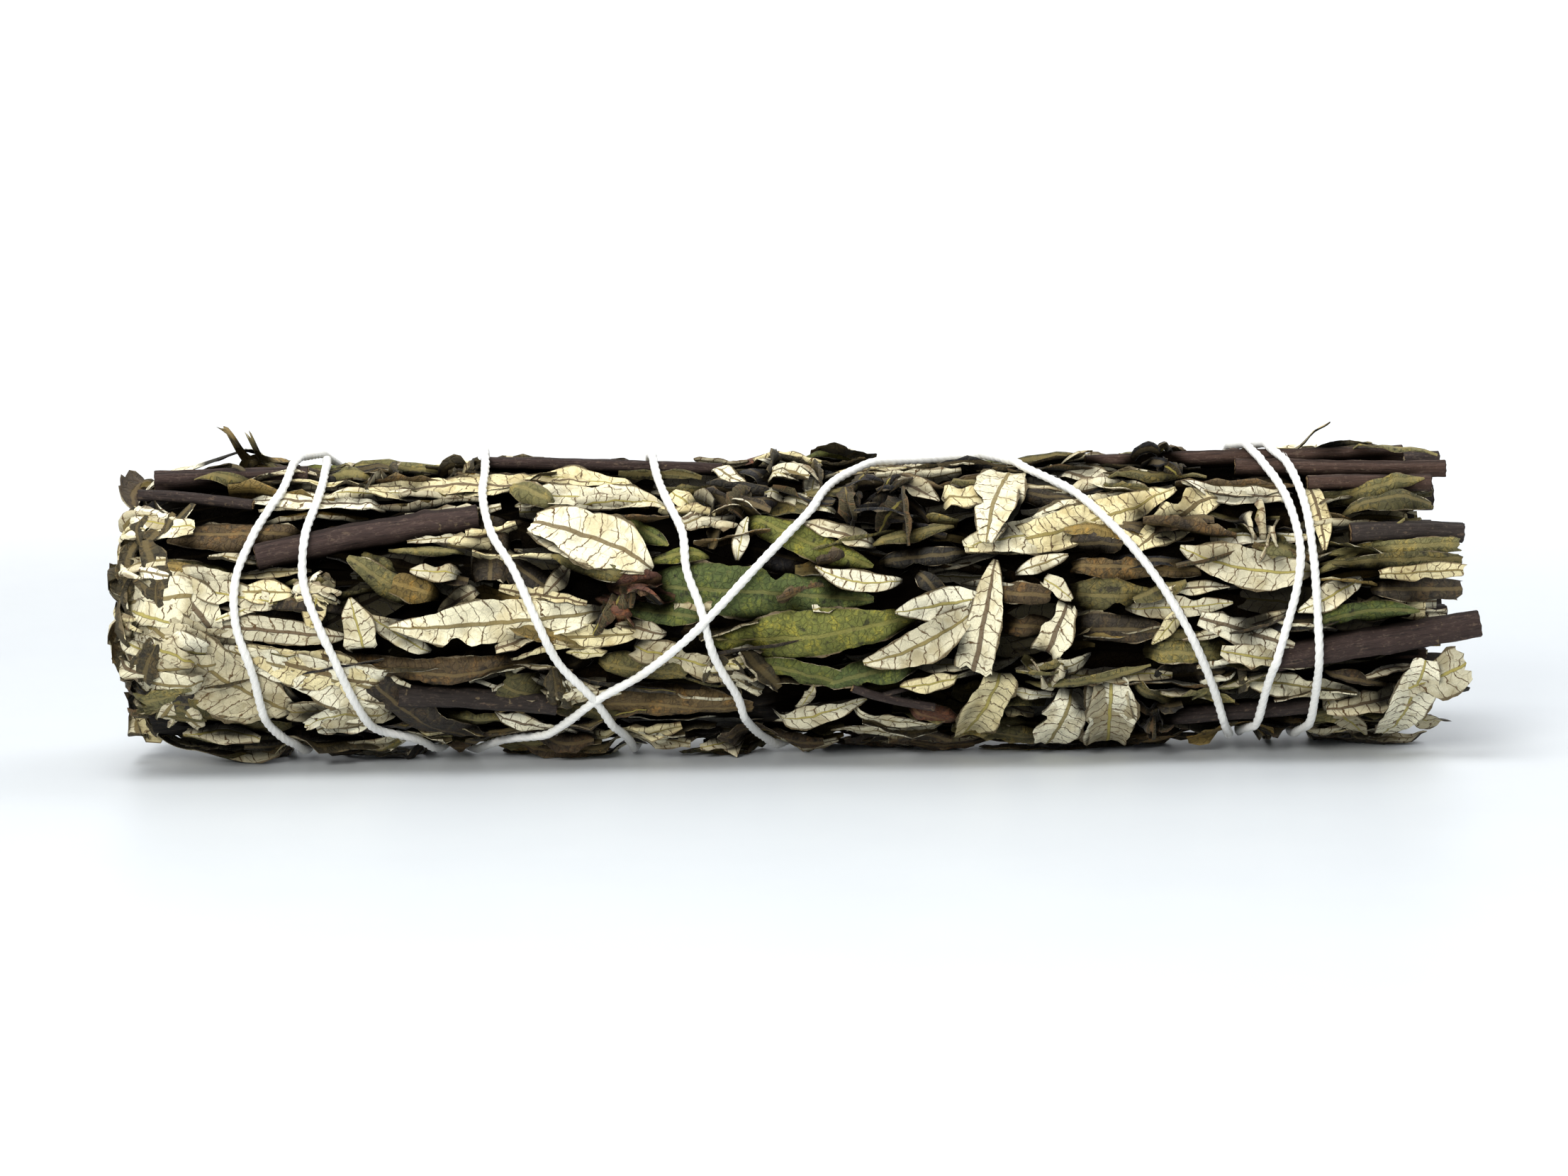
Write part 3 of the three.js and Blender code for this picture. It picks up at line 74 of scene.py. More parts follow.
SHORT_STATIONS = [0, 0.25, 0.7, 1]
STRING_DIAMETER = 1.6
LEAN = 0.016
AXIS_HEIGHT = 1.4
SEEN_RADIUS = 23.9
STEEPEST = 0.985
KNOT_X = 85.5
KNOT_RADIUS = 1.15
KNOT_ENDS_APART = 2.1
KNOT_TAILS = [[7, 3.5], [5, -6]]
RULE_SEED = 20261
RULE_ROWS = 8
RULE_COLUMNS = 7
RULE_LEFT = -84
RULE_RIGHT = 90
RULE_FURTHEST = 105
END_LEAVES = 9
GRID_LEFT = -126
GRID_RIGHT = 114
GRID_AROUND = 144
EYE_TILT = math.radians(7)
KNOT_AROUND = math.radians(196)
RULE_FROM = math.radians(92)
RULE_TO = math.radians(276)
RULE_FACES = [
    "pale", "olive", "pale", "brown", "pale", "dark", "pale", "green", "gold", "pale", "red",
]
UNDER_MIDDLE = FLOOR_BELOW_AXIS - 0.4
GRID_LENGTH = GRID_RIGHT - GRID_LEFT + 1
GRID_STEP = 2 * math.pi / GRID_AROUND

# Leaves of the front: face, tail x and height, tip x and height, width, bow, shares missing, lift
FRONT_LEAVES = [
    ["brown", -78, 12.5, -99, 12.5, 6.5, 0, 0.1, 0.15],
    ["pale", -95, 13, -109, 14, 5.5, 0, 0.1, 0.3],
    ["olive", -89, 6.5, -112, 8.5, 4, 0.8],
    ["pale", -87.5, 3.3, -107, 3.5, 6.5, 0, 0.25, 0.1],
    ["pale", -95, 2, -116, 0, 11, 0, 0.1, 0.1],
    ["pale", -91, -8, -114, -6, 8, 0, 0.1, 0.1],
    ["pale", -79, 2.5, -88.5, 2.8, 4, 0],
    ["pale", -71, -5, -96, -2.6, 4.6, 0],
    ["olive", -78, 1.5, -87, -0.5, 2.2, 0],
    ["pale", -74.3, 5.5, -76.5, -3.2, 4.8, 0, 0.2, 0.1],
    ["pale", -90, -9.5, -113, -11.5, 6, 0, 0.1, 0.1],
    ["pale", -94, -12.5, -112, -13.5, 6, 0, 0.1, 0.1],
    ["dark", -95, -15.5, -109, -17, 6, 0, 0.1, 0.35],
    ["olive", -81, -22.3, -103, -14.5, 7, 0, 0.05, 0.2],
    ["pale", -79.5, -18.5, -103, -1.5, 15, 1, 0.02, 0.12],
    ["pale", -64.5, -18.5, -81, -17.8, 7, 0, 0.3, 0.2],
    ["olive", -82, 20.8, -96, 20.8, 2.2, 0],
    ["dark", -69, 22.5, -90, 21.8, 3.2, 0],
    ["pale", -64.8, 16.9, -89.3, 17.6, 4.5, -0.9],
    ["dark", -74, 23.5, -84.5, 24.5, 4.6, 0, 0.2, 0.2, 1],
    ["gold", -79, 22.5, -92.3, 28.6, 2.4, 0, 0.05, 0.3, 5],
    ["olive", -79.5, 23, -88, 27.3, 2, 0, 0.05, 0.25, 3.2],
    ["dark", -50.5, -23, -66.5, -13, 8.5, 0, 0.05, 0.2],
    ["pale", -61, -22, -50, -20.8, 2, 0],
    ["pale", -57.5, -7.5, -67.5, -1, 3.8, 0],
    ["brown", -39, -8.6, -75.5, -8.4, 5.2, 2.6, 0.1, 0.1],
    ["pale", -63.5, -14.5, -90.5, -6.8, 8.8, 0.6, 0.3, 0.03],
    ["pale", -68, -7, -69.9, 1.6, 5.8, 0, 0.25, 0.02],
    ["olive", -61.5, 3.8, -68, 9, 3.6, 0, 0.1, 0.1],
    ["olive", -60.5, 1.4, -70.3, 8, 4.2, 0, 0.2, 0.05],
    ["gold", -56, 2, -63, 3.8, 4.4, 0, 0.1, 0.25],
    ["pale", -52.5, 5.3, -60.3, 5.6, 3.2, 0, 0.1, 0.05],
    ["pale", -50, 3, -56, -0.8, 3.4, 0, 0.15, 0.05],
    ["pale", -50.3, 12, -61, 10.7, 2, 0],
    ["olive", -52, 9.3, -64, 9.6, 1.8, 0],
    ["dark", -45.5, 8.5, -38.5, 3, 6.4, 0, 0.1, 0.1],
    ["dark", -47.8, 16.5, -47.8, 4.6, 6.2, 0, 0.3, 0.35],
    ["dark", -45.5, 14.5, -36.5, 10, 6.4, 0, 0.1, 0.1],
    ["pale", -30, 7.2, -44, 9.7, 3, 0],
    ["pale", -24.5, 20.3, -43, 21.5, 5.4, -0.8],
    ["pale", -32.5, 20.8, -68, 19.7, 7.8, -1.6],
    ["pale", -19.4, 17.6, -44, 16.8, 5.8, -1.4],
    ["olive", -38, 16.5, -44.5, 19, 3.6, 0, 0.1, 0.2],
    ["olive", -25, 4.8, -38, 8, 3, 0.3],
    ["pale", -35, 6.6, -39.3, 1.9, 3, 0],
    ["pale", -24, -4.4, -41.5, -5.2, 4.2, 0],
    ["pale", -29.5, -7.6, -36, -7.6, 2.4, 0],
    ["pale", -30, -0.6, -63.8, -3, 7.4, 0.7],
    ["olive", -46.5, -13, -28.5, -19.3, 7.8, 0, 0.25, 0.1],
    ["pale", -40.5, -12.3, -31, -15, 3, 0, 0.1, 0.2],
    ["pale", -48, -18.5, -35, -21.5, 3.4, 0],
    ["pale", -22, 6.2, -41, 13.2, 10.4, -1.2, 0.02, 0.12],
    ["green", -26, 14.5, -19.5, 10.3, 3.8, 0, 0.1, 0.02],
    ["pale", -20, -4.8, -28, -2.6, 3.2, 0],
    ["green", -14, -1.8, -28, 0.2, 4.4, 0],
    ["green", -13, 8.8, -23, 7.2, 2.8, -0.8],
    ["olive", -31, -9.8, -17, -12, 6.2, 0, 0.05, 0.1],
    ["brown", -33, -16.5, -6.5, -18.2, 7.8, 0, 0.15, 0.1],
    ["pale", -25.3, -7, -7, -13.2, 4.8, 0.8, 0.2, 0.1],
    ["pale", -9.5, -6.8, -5.5, -13, 3.6, 0, 0.2, 0.1],
    ["green", -6, -9.5, 11, -11.8, 4.4, 0],
    ["green", -26, 3.8, 13, 1.3, 9.6, 0, 0.05, 0.02],
    ["green", -14, -6, 21, -0.8, 8.2, -1],
    ["green", 4, -12, 27, -6.5, 4.6, 0],
    ["pale", -19.5, 19.5, -14.3, 15.8, 3.4, 0],
    ["olive", -19, 20.8, -10, 19.5, 2.6, 0],
    ["pale", -15.8, 13.3, -8.5, 17.8, 4.8, 0],
    ["pale", -8.6, 8, -6.8, 14.6, 2.8, 0],
    ["pale", -12.5, 22.3, -7, 19.3, 3, 0],
    ["black", -7, 23.5, -3, 20.5, 4, 0, 0.3, 0.3],
    ["black", -7, 17.5, -2, 17.5, 3, 0, 0.3, 0.3],
    ["pale", -3.5, 20.3, 1.5, 20.6, 2.4, 0],
    ["green", -7.5, 15.3, 13, 6.6, 5.6, -0.4],
    ["pale", -4, 18.6, 7.2, 15.6, 3.2, 0.4, 0.15, 0.05],
    ["pale", 4.2, 22, 3, 17.9, 2.8, 0, 0.2, 0.1],
    ["pale", -6, 26.5, 4.5, 22.2, 3.8, 0.6],
    ["pale", 17.6, 4.4, 3.8, 6.4, 3.4, 1.4],
    ["dark", 14, 7.5, 28.5, 9, 3.6, 0],
    ["pale", 13.6, 10.2, 2, 14, 4, 0.3],
    ["olive", 13, 10, 26, 13.3, 2.5, -0.2],
    ["black", 6, 16, 19.5, 13, 3.2, 0],
    ["black", 7, 15.8, 14, 21.5, 3, 0],
    ["black", 12.5, 21.5, 22, 13.8, 3.4, 0.5],
    ["pale", 7.5, 19.3, 11.5, 18.8, 2.8, 0, 0.2, 0.2],
    ["pale", 15.3, 20.5, 23.8, 17.2, 5.2, 0.3],
    ["brown", 14.5, 24, 25, 20.2, 2.6, 0.4],
    ["pale", 12, 23.6, 19, 24.6, 2, 0],
    ["pale", 24.6, 17.2, 30.5, 18, 4.8, 0, 0.3, 0.3],
    ["olive", 25.5, 21, 31.5, 20.7, 2, 0],
    ["pale", 25, 24.8, 30, 24.4, 2.4, 0],
    ["pale", 38, 2, 26.8, 3.8, 3, 0],
    ["pale", 30.5, 1.6, 16.3, -0.6, 5, 0],
    ["dark", 20, 5.6, 24, 1.4, 3.2, 0, 0.1, 0.3],
    ["pale", 29.3, 0.2, 11.2, -8.3, 5.8, 1.4],
    ["pale", 36, -8.5, 25, -11.6, 1.8, 0],
    ["pale", 26.3, -11, 17, -12, 2.8, 0],
    ["red", 19, -16.5, 28, -19, 5.4, 0, 0.1, 0.1],
    ["pale", 3.4, -12.5, 0.5, -16.8, 2.8, 0],
    ["pale", 9, -16.9, 22.5, -18.8, 3.8, -0.6],
    ["pale", 25, -20.3, 6, -20.9, 3.6, 0.8],
    ["pale", -3.2, -18.8, 11.8, -14.9, 5, 0],
    ["pale", 43, 23.2, 57, 19.3, 5.2, 0.2, 0.1, 0.05],
    ["olive", 51, 22, 67, 21.8, 2.8, 0],
    ["dark", 36, 19.5, 46, 18.5, 4.4, 0],
    ["pale", 41.5, 24.2, 49, 24, 2, 0],
    ["pale", 35.5, 5.6, 44, 8.6, 2.8, 0],
    ["pale", 51, 12.5, 55.5, 10, 3.2, 0, 0.2, 0.2],
    ["olive", 53, 12.5, 61, 15.2, 2.2, 0],
    ["brown", 44.5, 7, 65, 6.1, 4, 0.2, 0.15, 0.1],
    ["brown", 32.5, 2.4, 41, 2, 3.6, 0, 0.1, 0.2],
    ["olive", 44.3, 2.2, 58.5, 1.6, 6, 0, 0.2, 0.1],
    ["dark", 43.5, -3.5, 58.5, -4, 5.4, 0, 0.1, 0.1],
    ["brown", 31.3, -2.6, 42, -3.4, 4, 0, 0.1, 0.2],
    ["pale", 61.5, 20.2, 27.4, 9.2, 7.8, 1.1, 0.03, 0.06],
    ["pale", 36, 24, 31.2, 10, 8.2, -0.3, 0.12, 0.08],
    ["pale", 68.8, 18.6, 54.5, 9.4, 6.4, -0.5],
    ["pale", 40, 4.7, 44.3, 1.3, 3.2, 0, 0.2, 0.05],
    ["pale", 58, 2.2, 69.5, 3.4, 2.4, 0.4],
    ["pale", 53, -0.3, 70, 0.7, 4, -0.2],
    ["pale", 43.5, 0.6, 40.2, -7, 5.4, 0, 0.15, 0.35],
    ["pale", 62.6, 0.2, 57.2, -6.4, 3, 0],
    ["pale", 32.4, 7.6, 28.6, -9.4, 6, 0, 0.02, 0.42],
    ["pale", 47.5, -8, 35.3, -9.6, 3.6, 0.5],
    ["olive", 37, -12, 57, -9.5, 2, -0.3],
    ["pale", 42.3, -14.8, 33.5, -13, 2.4, 0.3],
    ["dark", 56.5, -12, 69, -11, 4.8, 0],
    ["olive", 54.5, -12.3, 61.5, -15.8, 3.4, 0, 0.1, 0.05],
    ["pale", 33, -10.6, 26, -24.4, 7.4, 0.3, 0.2, 0.04],
    ["pale", 44.6, -13.8, 41, -24, 8.2, 0, 0.12, 0.12],
    ["pale", 50.6, -11.6, 51, -24, 8.2, 0, 0.25, 0.3],
    ["brown", 55, -21.5, 71, -20.8, 2.4, 0],
    ["olive", 56, -8, 83.8, -8.3, 5, 0.5, 0.1, 0.2],
    ["pale", 79, -0.8, 62, -5.6, 2.8, 0.4],
    ["olive", 74, 14.4, 80, 11.8, 3, 0],
    ["olive", 80.5, 9.3, 69.5, 13, 3.8, 0],
    ["pale", 83, 6.2, 61.8, 9.9, 7, 1.8],
    ["pale", 80.7, 20.2, 62.5, 19.4, 3.8, 0.3],
    ["olive", 82, 18.2, 101.5, 20.3, 3.2, -0.5],
    ["olive", 88, 15.6, 102.5, 17.4, 3.6, 0.5, 0.02, 0.15],
    ["dark", 92, 3, 106, 3, 4.2, 0, 0.1, 0.3],
    ["olive", 85, 9.2, 106, 9.8, 2.6, 0, 0.02, 0.25],
    ["olive", 84, 7.4, 106, 7.5, 2.4, 0, 0.02, 0.25],
    ["pale", 93, 5.2, 106.3, 5.8, 2.6, 0, 0.1, 0.25],
    ["olive", 83, 5.6, 97.5, 13.8, 2, -0.3],
    ["pale", 82.7, 21, 84.8, 9.6, 3.5, 0.5, 0.1, 0.05],
    ["pale", 90.5, 4.9, 80.2, -0.8, 4.2, 0.3],
    ["green", 81.5, -3.6, 99.5, -0.6, 4, 1.2],
    ["brown", 70, -16.5, 84, -20.5, 2.6, 0],
    ["olive", 81, -21.5, 98, -22.3, 3.4, 0],
    ["brown", 85, -11.5, 95, -13, 2.6, 0.6],
    ["pale", 85.2, -15.2, 93.3, -21.9, 4.8, 0],
    ["pale", 71.3, -12.5, 91.4, -15, 4.5, 0.8],
    ["dark", 98, -14.4, 107.6, -12.5, 5.4, 0, 0.1, 0.3],
    ["pale", 96.5, -16.6, 105.4, -19.6, 4.6, 0, 0.1, 0.25],
    ["pale", 97, -13, 107, -8.8, 6.6, 0, 0.1, 0.3],
    ["pale", 100.4, -7.8, 95, -22.2, 7.4, 0.5, 0.12, 0.05],
    ["olive", 76, 27.3, 95, 27.2, 2.6, 0],
    ["olive", 91, 25.8, 104.5, 24.2, 1.9, 0],
    ["pale", 80, 26.4, 88, 29.3, 2.4, 0, 0.05, 0.2, 2.5],
]

# Stems of the front: start x and height, end x and height, diameter, outer radius
FRONT_STEMS = [
    [-85, 8.3, -50, 15.5, 4.6, 24.6],
    [-102.5, 21.3, -78, 22.5, 3.8, 24.4],
    [-104.5, 18.3, -86, 17, 1.9, 24.3],
    [-63, -15.5, -38, -16.5, 4.6, 24],
    [-50, 25.6, -11, 23.1, 2.2, 24.3],
    [9.5, -12.2, 22.5, -15.4, 1.4, 25.4],
    [48, 24.3, 99.5, 26.2, 2.9, 24.2],
    [72, 23.6, 105.5, 23.5, 3.1, 24.2],
    [83, 20.2, 102.6, 20.9, 2.9, 24.6],
    [89, 12.4, 106.8, 12, 3.5, 24.8],
    [77, -9, 109, -2.3, 4.7, 25],
    [56, -18.5, 84, -16.8, 3.3, 24.2],
]

# Stems of the back: start x, end x, angle around, drift of that angle, diameter, outer radius
BACK_STEMS = [
    [58, 107.5, 112, 6, 3.6, 24.3],
    [-101, -62, 128, -9, 3.8, 24.3],
    [30, 104.5, 149, -5, 4.4, 24.5],
    [72, 108, 176, 7, 3.2, 24.3],
    [-52, -6, 171, 10, 3.4, 25.1],
    [45, 106, 207, -6, 4.8, 24.5],
    [-98, -58, 214, 5, 3, 24.6],
    [66, 103.5, 238, 5, 3.4, 24.2],
]

# Front passes of the string, bottom to top: x and height of each point
STRING_PASSES = [
    [[81.6, -22.6], [82.9, -18], [83.4, -10], [83.2, 0], [82.8, 9], [82.2, 16], [80.6, 21.5], [77.6, 25.2]],
    [[73, -21.8], [74.6, -17], [76, -10], [78, -4], [80, 3], [80.8, 9], [80, 15.5], [78, 20.3],
    [74.6, 24.6]],
    [[70.9, -21.4], [68, -15], [64, -6], [59, 3], [54, 10], [48, 16.5], [42, 21], [36, 24.3]],
    [[-5, -23.3], [-7.5, -19.5], [-9, -15], [-12.5, -8], [-14.5, 0], [-16.6, 6], [-17.2, 12], [-20, 18],
    [-22, 23]],
    [[-26.8, -22.8], [-29.5, -19], [-32, -15], [-37, -9.5], [-40.3, -2.5], [-44, 6], [-47.6, 12],
    [-49.2, 18], [-49.3, 23.4]],
    [[-60, -23.6], [-67, -20.5], [-70, -15.5], [-72.5, -9], [-75, -3], [-77.3, 4], [-77, 11], [-75.5, 18],
    [-75.2, 23.2]],
    [[-80.5, -23.8], [-84.5, -19], [-86, -10.5], [-88.2, -2.5], [-88, 5], [-85, 12.5], [-81.5, 18.5],
    [-79, 23.4]],
    [[-48, -23.8], [-40, -21], [-32, -15.6], [-24, -11], [-14.8, -3.2], [-5, 7], [3, 15], [9, 22]],
]

# Where along the bundle the string runs at the middle of the back after a pass, if it doesn't run straight
STRING_BACKS = [77.2, 71.4, None, None, None, -79.8, None, None]

# Leaves that the bundle rests on: middle x, angle around, length, width, turn, face
UNDER_LEAVES = [
    [-95, 271, 20, 8, 12, "olive"],
    [-89, 260, 21, 8, -16, "pale"],
    [-66, 269, 19, 7.5, 28, "dark"],
    [-62, 256, 15, 7.5, -24, "pale"],
    [-36, 266, 24, 8.5, 10, "pale"],
    [-8, 270, 22, 7.5, -14, "olive"],
    [17, 262, 25, 8.5, 9, "brown"],
    [44, 270, 27, 7.5, -8, "pale"],
    [52, 258, 24, 8, 14, "olive"],
    [93, 270, 22, 7.5, 11, "dark"],
    [88, 259, 21, 8, -9, "pale"],
]

# Finer looks than the solids have
FINER_SEED = 77
LEAF_STEP = 0.75
COARSE_STEP = 1.5
ROPE_STEP = 0.45
ROPE_SIDES = 15
ROPE_PITCH = 4.3
LEAF_BARK = 3
LEAF_CUT_WOOD = 4
LEFT_TIPS = 90
LEFT_FACE_X = -103
LEFT_MOST_X = -108
LEFT_REACH = 20.5
LEFT_PRESSED = 23.1
LEFT_PRESS_SLOPE = 0.3
RIGHT_EDGES = 190
END_TWIGS = 46
INNER_SPACING = 5.8
INNER_MIDDLE_X = 2.5
FORKED_STEM = "front_stem_6"
SUNK_RADIUS = 23
CRUMPLE_RADIUS = 25
TIGHT_STEP = 1.2
CROSSING_REACH = 7
TIGHTENINGS = 60
SLIVERS = 520
SLIVER_RISE = (-1.2, 1.3)
SLIVERS_ALONG = (-94, 96)
SLIVERS_AROUND = (-1.25, 4.4)
LOW_EDGE_EVERY = 6
LOW_EDGE_AROUND = (-1.5, -1.1)
LOW_EDGE_RISE = 0.8
SLIVERS_MOST_X = 103
CRUMPLES_MOST_X = 104
END_GAP = 0.7
TWIG_GAP = 0.2
SLIVER_FACES = ["pale", "olive", "dark", "pale", "brown", "gold", "pale", "black", "olive", "pale"]
PRESS_AROUND = 300
NOT_PRESSED = 99.0
# Painted shade in the gaps: depths below the neighbouring pieces, in mm, over which colours darken, and how
# it eases off towards the two ends
PAINTED_SHADE_NEAR = 4
PAINTED_SHADE_FROM = 0.5
PAINTED_SHADE_TO = 2.1
PAINTED_SHADE_RIGHT = 105
PAINTED_SHADE_LEFT = -108
PAINTED_SHADE_AT_ENDS = 0.22
FUZZ_FIBRES = 1500
GOLDEN_ANGLE = 2.39996
LEFT_SPREAD = 19.5
RIGHT_SPREAD = 20.5
RIGHT_EDGES_FROM = 90
TWIG_SPREAD = 21
TWIGS_FROM = 88
INNER_STEMS = 7
STEM_SIDES = 22
ROUTE_DIVISIONS = 3000
ROPE_DIVISIONS = 4000
PRESS_DIVISIONS = 6000
STEM_DIVISIONS = 400
TURN_AT_LEAST = 60
CROSSING_WITHIN = 0.8
LIFT_OFF_FLOOR = 0.03
LEFT_FACES = ["pale", "pale", "pale", "olive", "brown", "dark", "pale"]
END_FACES = ["pale", "olive", "dark", "pale", "brown", "gold"]
BARK_TINTS = [(0.05, 0.03, 0.025), (0.04, 0.027, 0.023), (0.075, 0.042, 0.03), (0.035, 0.026, 0.022)]

# The front's most open leaves, laid over the others
TOP_LEAVES = [
    ["pale", -79.5, -18.5, -101, -3, 11, 1, 0.02, 0.12],
    ["pale", -64.5, -13.5, -88.5, -6.6, 8, 0.5, 0.25, 0.03],
    ["pale", -91, -6.5, -104, 6.5, 7.5, -2, 0.1, 0.1],
    ["pale", -81.5, 0.9, -96, 3.8, 4.4, 0.3, 0.1, 0.1],
    ["gold", -91, 6.8, -102, 8, 1.8, 0.9],
    ["pale", -65.1, -17.2, -78.5, -19, 5.4, 0, 0.25, 0.1],
    ["pale", -37.6, 22.1, -67.4, 18.3, 6.6, -1.2, 0.05, 0.05],
    ["pale", -22, 6.2, -41, 13.2, 9.6, -1.2, 0.02, 0.12],
    ["pale", 61.6, 19.1, 28, 9.1, 6.6, 1, 0.03, 0.06],
    ["pale", 35, 22.6, 30.9, 9.8, 7.2, -0.3, 0.15, 0.08],
    ["pale", 80, 18.6, 63, 19.2, 4.2, 0.3],
    ["pale", 50.6, -11.6, 51, -23.2, 7.4, 0, 0.25, 0.3],
]

# Crumpled pieces on the front: x, height, how far they spread, face and how many
CRUMPLES = [
    (13.4, 17.6, 5, "black", 14),
    (-28.8, -0.5, 1.4, "red", 7),
    (-24.2, 2.8, 2, "red", 7),
    (-10.8, 14.5, 3.6, "pale", 9),
    (-9, 17, 2.5, "dark", 5),
    (-74.3, 2.2, 2.4, "pale", 6),
    (-8.5, -10.8, 3.6, "pale", 8),
    (-36, -15.3, 2.6, "pale", 6),
    (1.5, 22.6, 4, "pale", 7),
    (-52.9, 24.2, 2.4, "pale", 5),
    (-72, 23, 3, "olive", 6),
    (-66, 22.6, 3, "pale", 5),
    (58, -16.9, 2.6, "dark", 7),
    (59.3, 24.6, 3, "black", 7),
    (74.7, 12.2, 3, "olive", 7),
    (40, -9, 2.4, "olive", 5),
    (70, -12, 3, "pale", 4),
    (-101, 14, 3, "pale", 9),
    (-103, 5, 4, "pale", 8),
    (-102, -8, 4, "pale", 8),
    (-99, -16, 3.4, "olive", 6),
    (-104, -3, 3, "pale", 6),
]

# The camera and the light
EYE_DISTANCE = 700
SENSOR_WIDTH = 36
PHOTO_WIDTH = 257
PHOTO_MIDDLE_X = -1.2
PHOTO_ABOVE_AXIS = 1.75
PHOTO_ROLL_DEG = 0.92
WORLD_LIGHT = 0.45

SIDES = np.linspace(-1, 1, 5)
PARTS = np.linspace(0, 1, 5)


class Draw:
    """Repeatable random numbers, the same as the solids use."""

    def __init__(self, seed):
        self.state = seed

    def next(self):
        self.state = (self.state * 1664525 + 1013904223) % 4294967296
        return self.state / 4294967296

    def between(self, low, high):
        return low + (high - low) * self.next()

    def pick(self, choices):
        return choices[int(self.next() * len(choices))]


def around_of(x, height):
    rise = (height - AXIS_HEIGHT - LEAN * x) / SEEN_RADIUS
    return EYE_TILT + math.asin(max(-STEEPEST, min(STEEPEST, rise)))


def smooth(low, high, value):
    share = np.clip((value - low) / (high - low), 0, 1)
    return share * share * (3 - 2 * share)


# The grid along and around the bundle that the leaves are laid on
pile = np.zeros((GRID_LENGTH, GRID_AROUND))
give = np.zeros((GRID_LENGTH, GRID_AROUND))
under_string = np.zeros((GRID_LENGTH, GRID_AROUND), bool)
press = np.full((2 * GRID_LENGTH, PRESS_AROUND), NOT_PRESSED)
grid_along, grid_around = np.meshgrid(
    np.arange(GRID_LEFT, GRID_RIGHT + 1), np.arange(GRID_AROUND) * GRID_STEP, indexing="ij"
)


def cell(along, around):
    i = np.floor(np.asarray(along) + 0.5).astype(int) - GRID_LEFT
    j = np.floor(np.asarray(around) / GRID_STEP + 0.5).astype(int) % GRID_AROUND
    return np.clip(i, 0, GRID_LENGTH - 1), j


def lumps(along, around):
    wide = 0.35 * np.sin(2 * around + 0.6 + along / 60) + 0.3 * np.sin(3 * around - along / 31)
    return wide + 0.25 * np.sin(along / 14 + 2 * around)


def bed(along, around):
    return BED_RADIUS + lumps(along, around) - give[cell(along, around)]


def outside(along, around):
    pressed = under_string[cell(along, around)]
    goal = OUTSIDE_RADIUS + lumps(along, around) - np.where(pressed, STRING_PRESSES, 0)
    down = np.maximum(-np.sin(around), 1e-6)
    room = np.where(pressed, UNDERSIDE_ROOM, UNDERSIDE_GAP)
    return np.where(down < UNDERSIDE_FROM, goal, np.minimum(goal, (FLOOR_BELOW_AXIS - room) / down))


def limit(along, around):
    above = np.where(under_string[cell(along, around)], MOST_ABOVE_PRESSED, MOST_ABOVE)
    return outside(along, around) + np.where(-np.sin(around) > UNDERSIDE_FROM, UNDERSIDE_GAP, above)


def point(along, around, radius):
    """Points in space, folded over the left shoulder, as an array with x, y and z last."""
    along, around, radius = np.broadcast_arrays(along, around, radius)
    over = np.maximum(SHOULDER_X - along, 0)
    above = radius - BED_RADIUS
    turn = np.minimum(over / SHOULDER_RADIUS, math.pi / 2)
    inwards = np.maximum(0, over - SHOULDER_RADIUS * math.pi / 2)
    folded_x = SHOULDER_X - (SHOULDER_RADIUS + above) * np.sin(turn)
    folded_r = BED_RADIUS - SHOULDER_RADIUS + (SHOULDER_RADIUS + above) * np.cos(turn) - inwards
    x = np.where(over > 0, folded_x, along)
    r = np.where(over > 0, folded_r, radius)
    return np.stack([x, -r * np.cos(around), r * np.sin(around)], axis=-1)


def wall_angle(number, along):
    turn = 2 * math.pi / LEAFY_STEMS
    return turn * number + 0.39 + 0.1 * math.sin(along / 21 + 1.9 * number)


def owner_of(along, around):
    """Which leafy stem a place belongs to."""
    full = 2 * math.pi
    for number in range(LEAFY_STEMS):
        low = wall_angle(number, along)
        is_last = number + 1 == LEAFY_STEMS
        high = wall_angle(0, along) + full if is_last else wall_angle(number + 1, along)
        if low + (around - low) % full < high:
            return number
    return 0


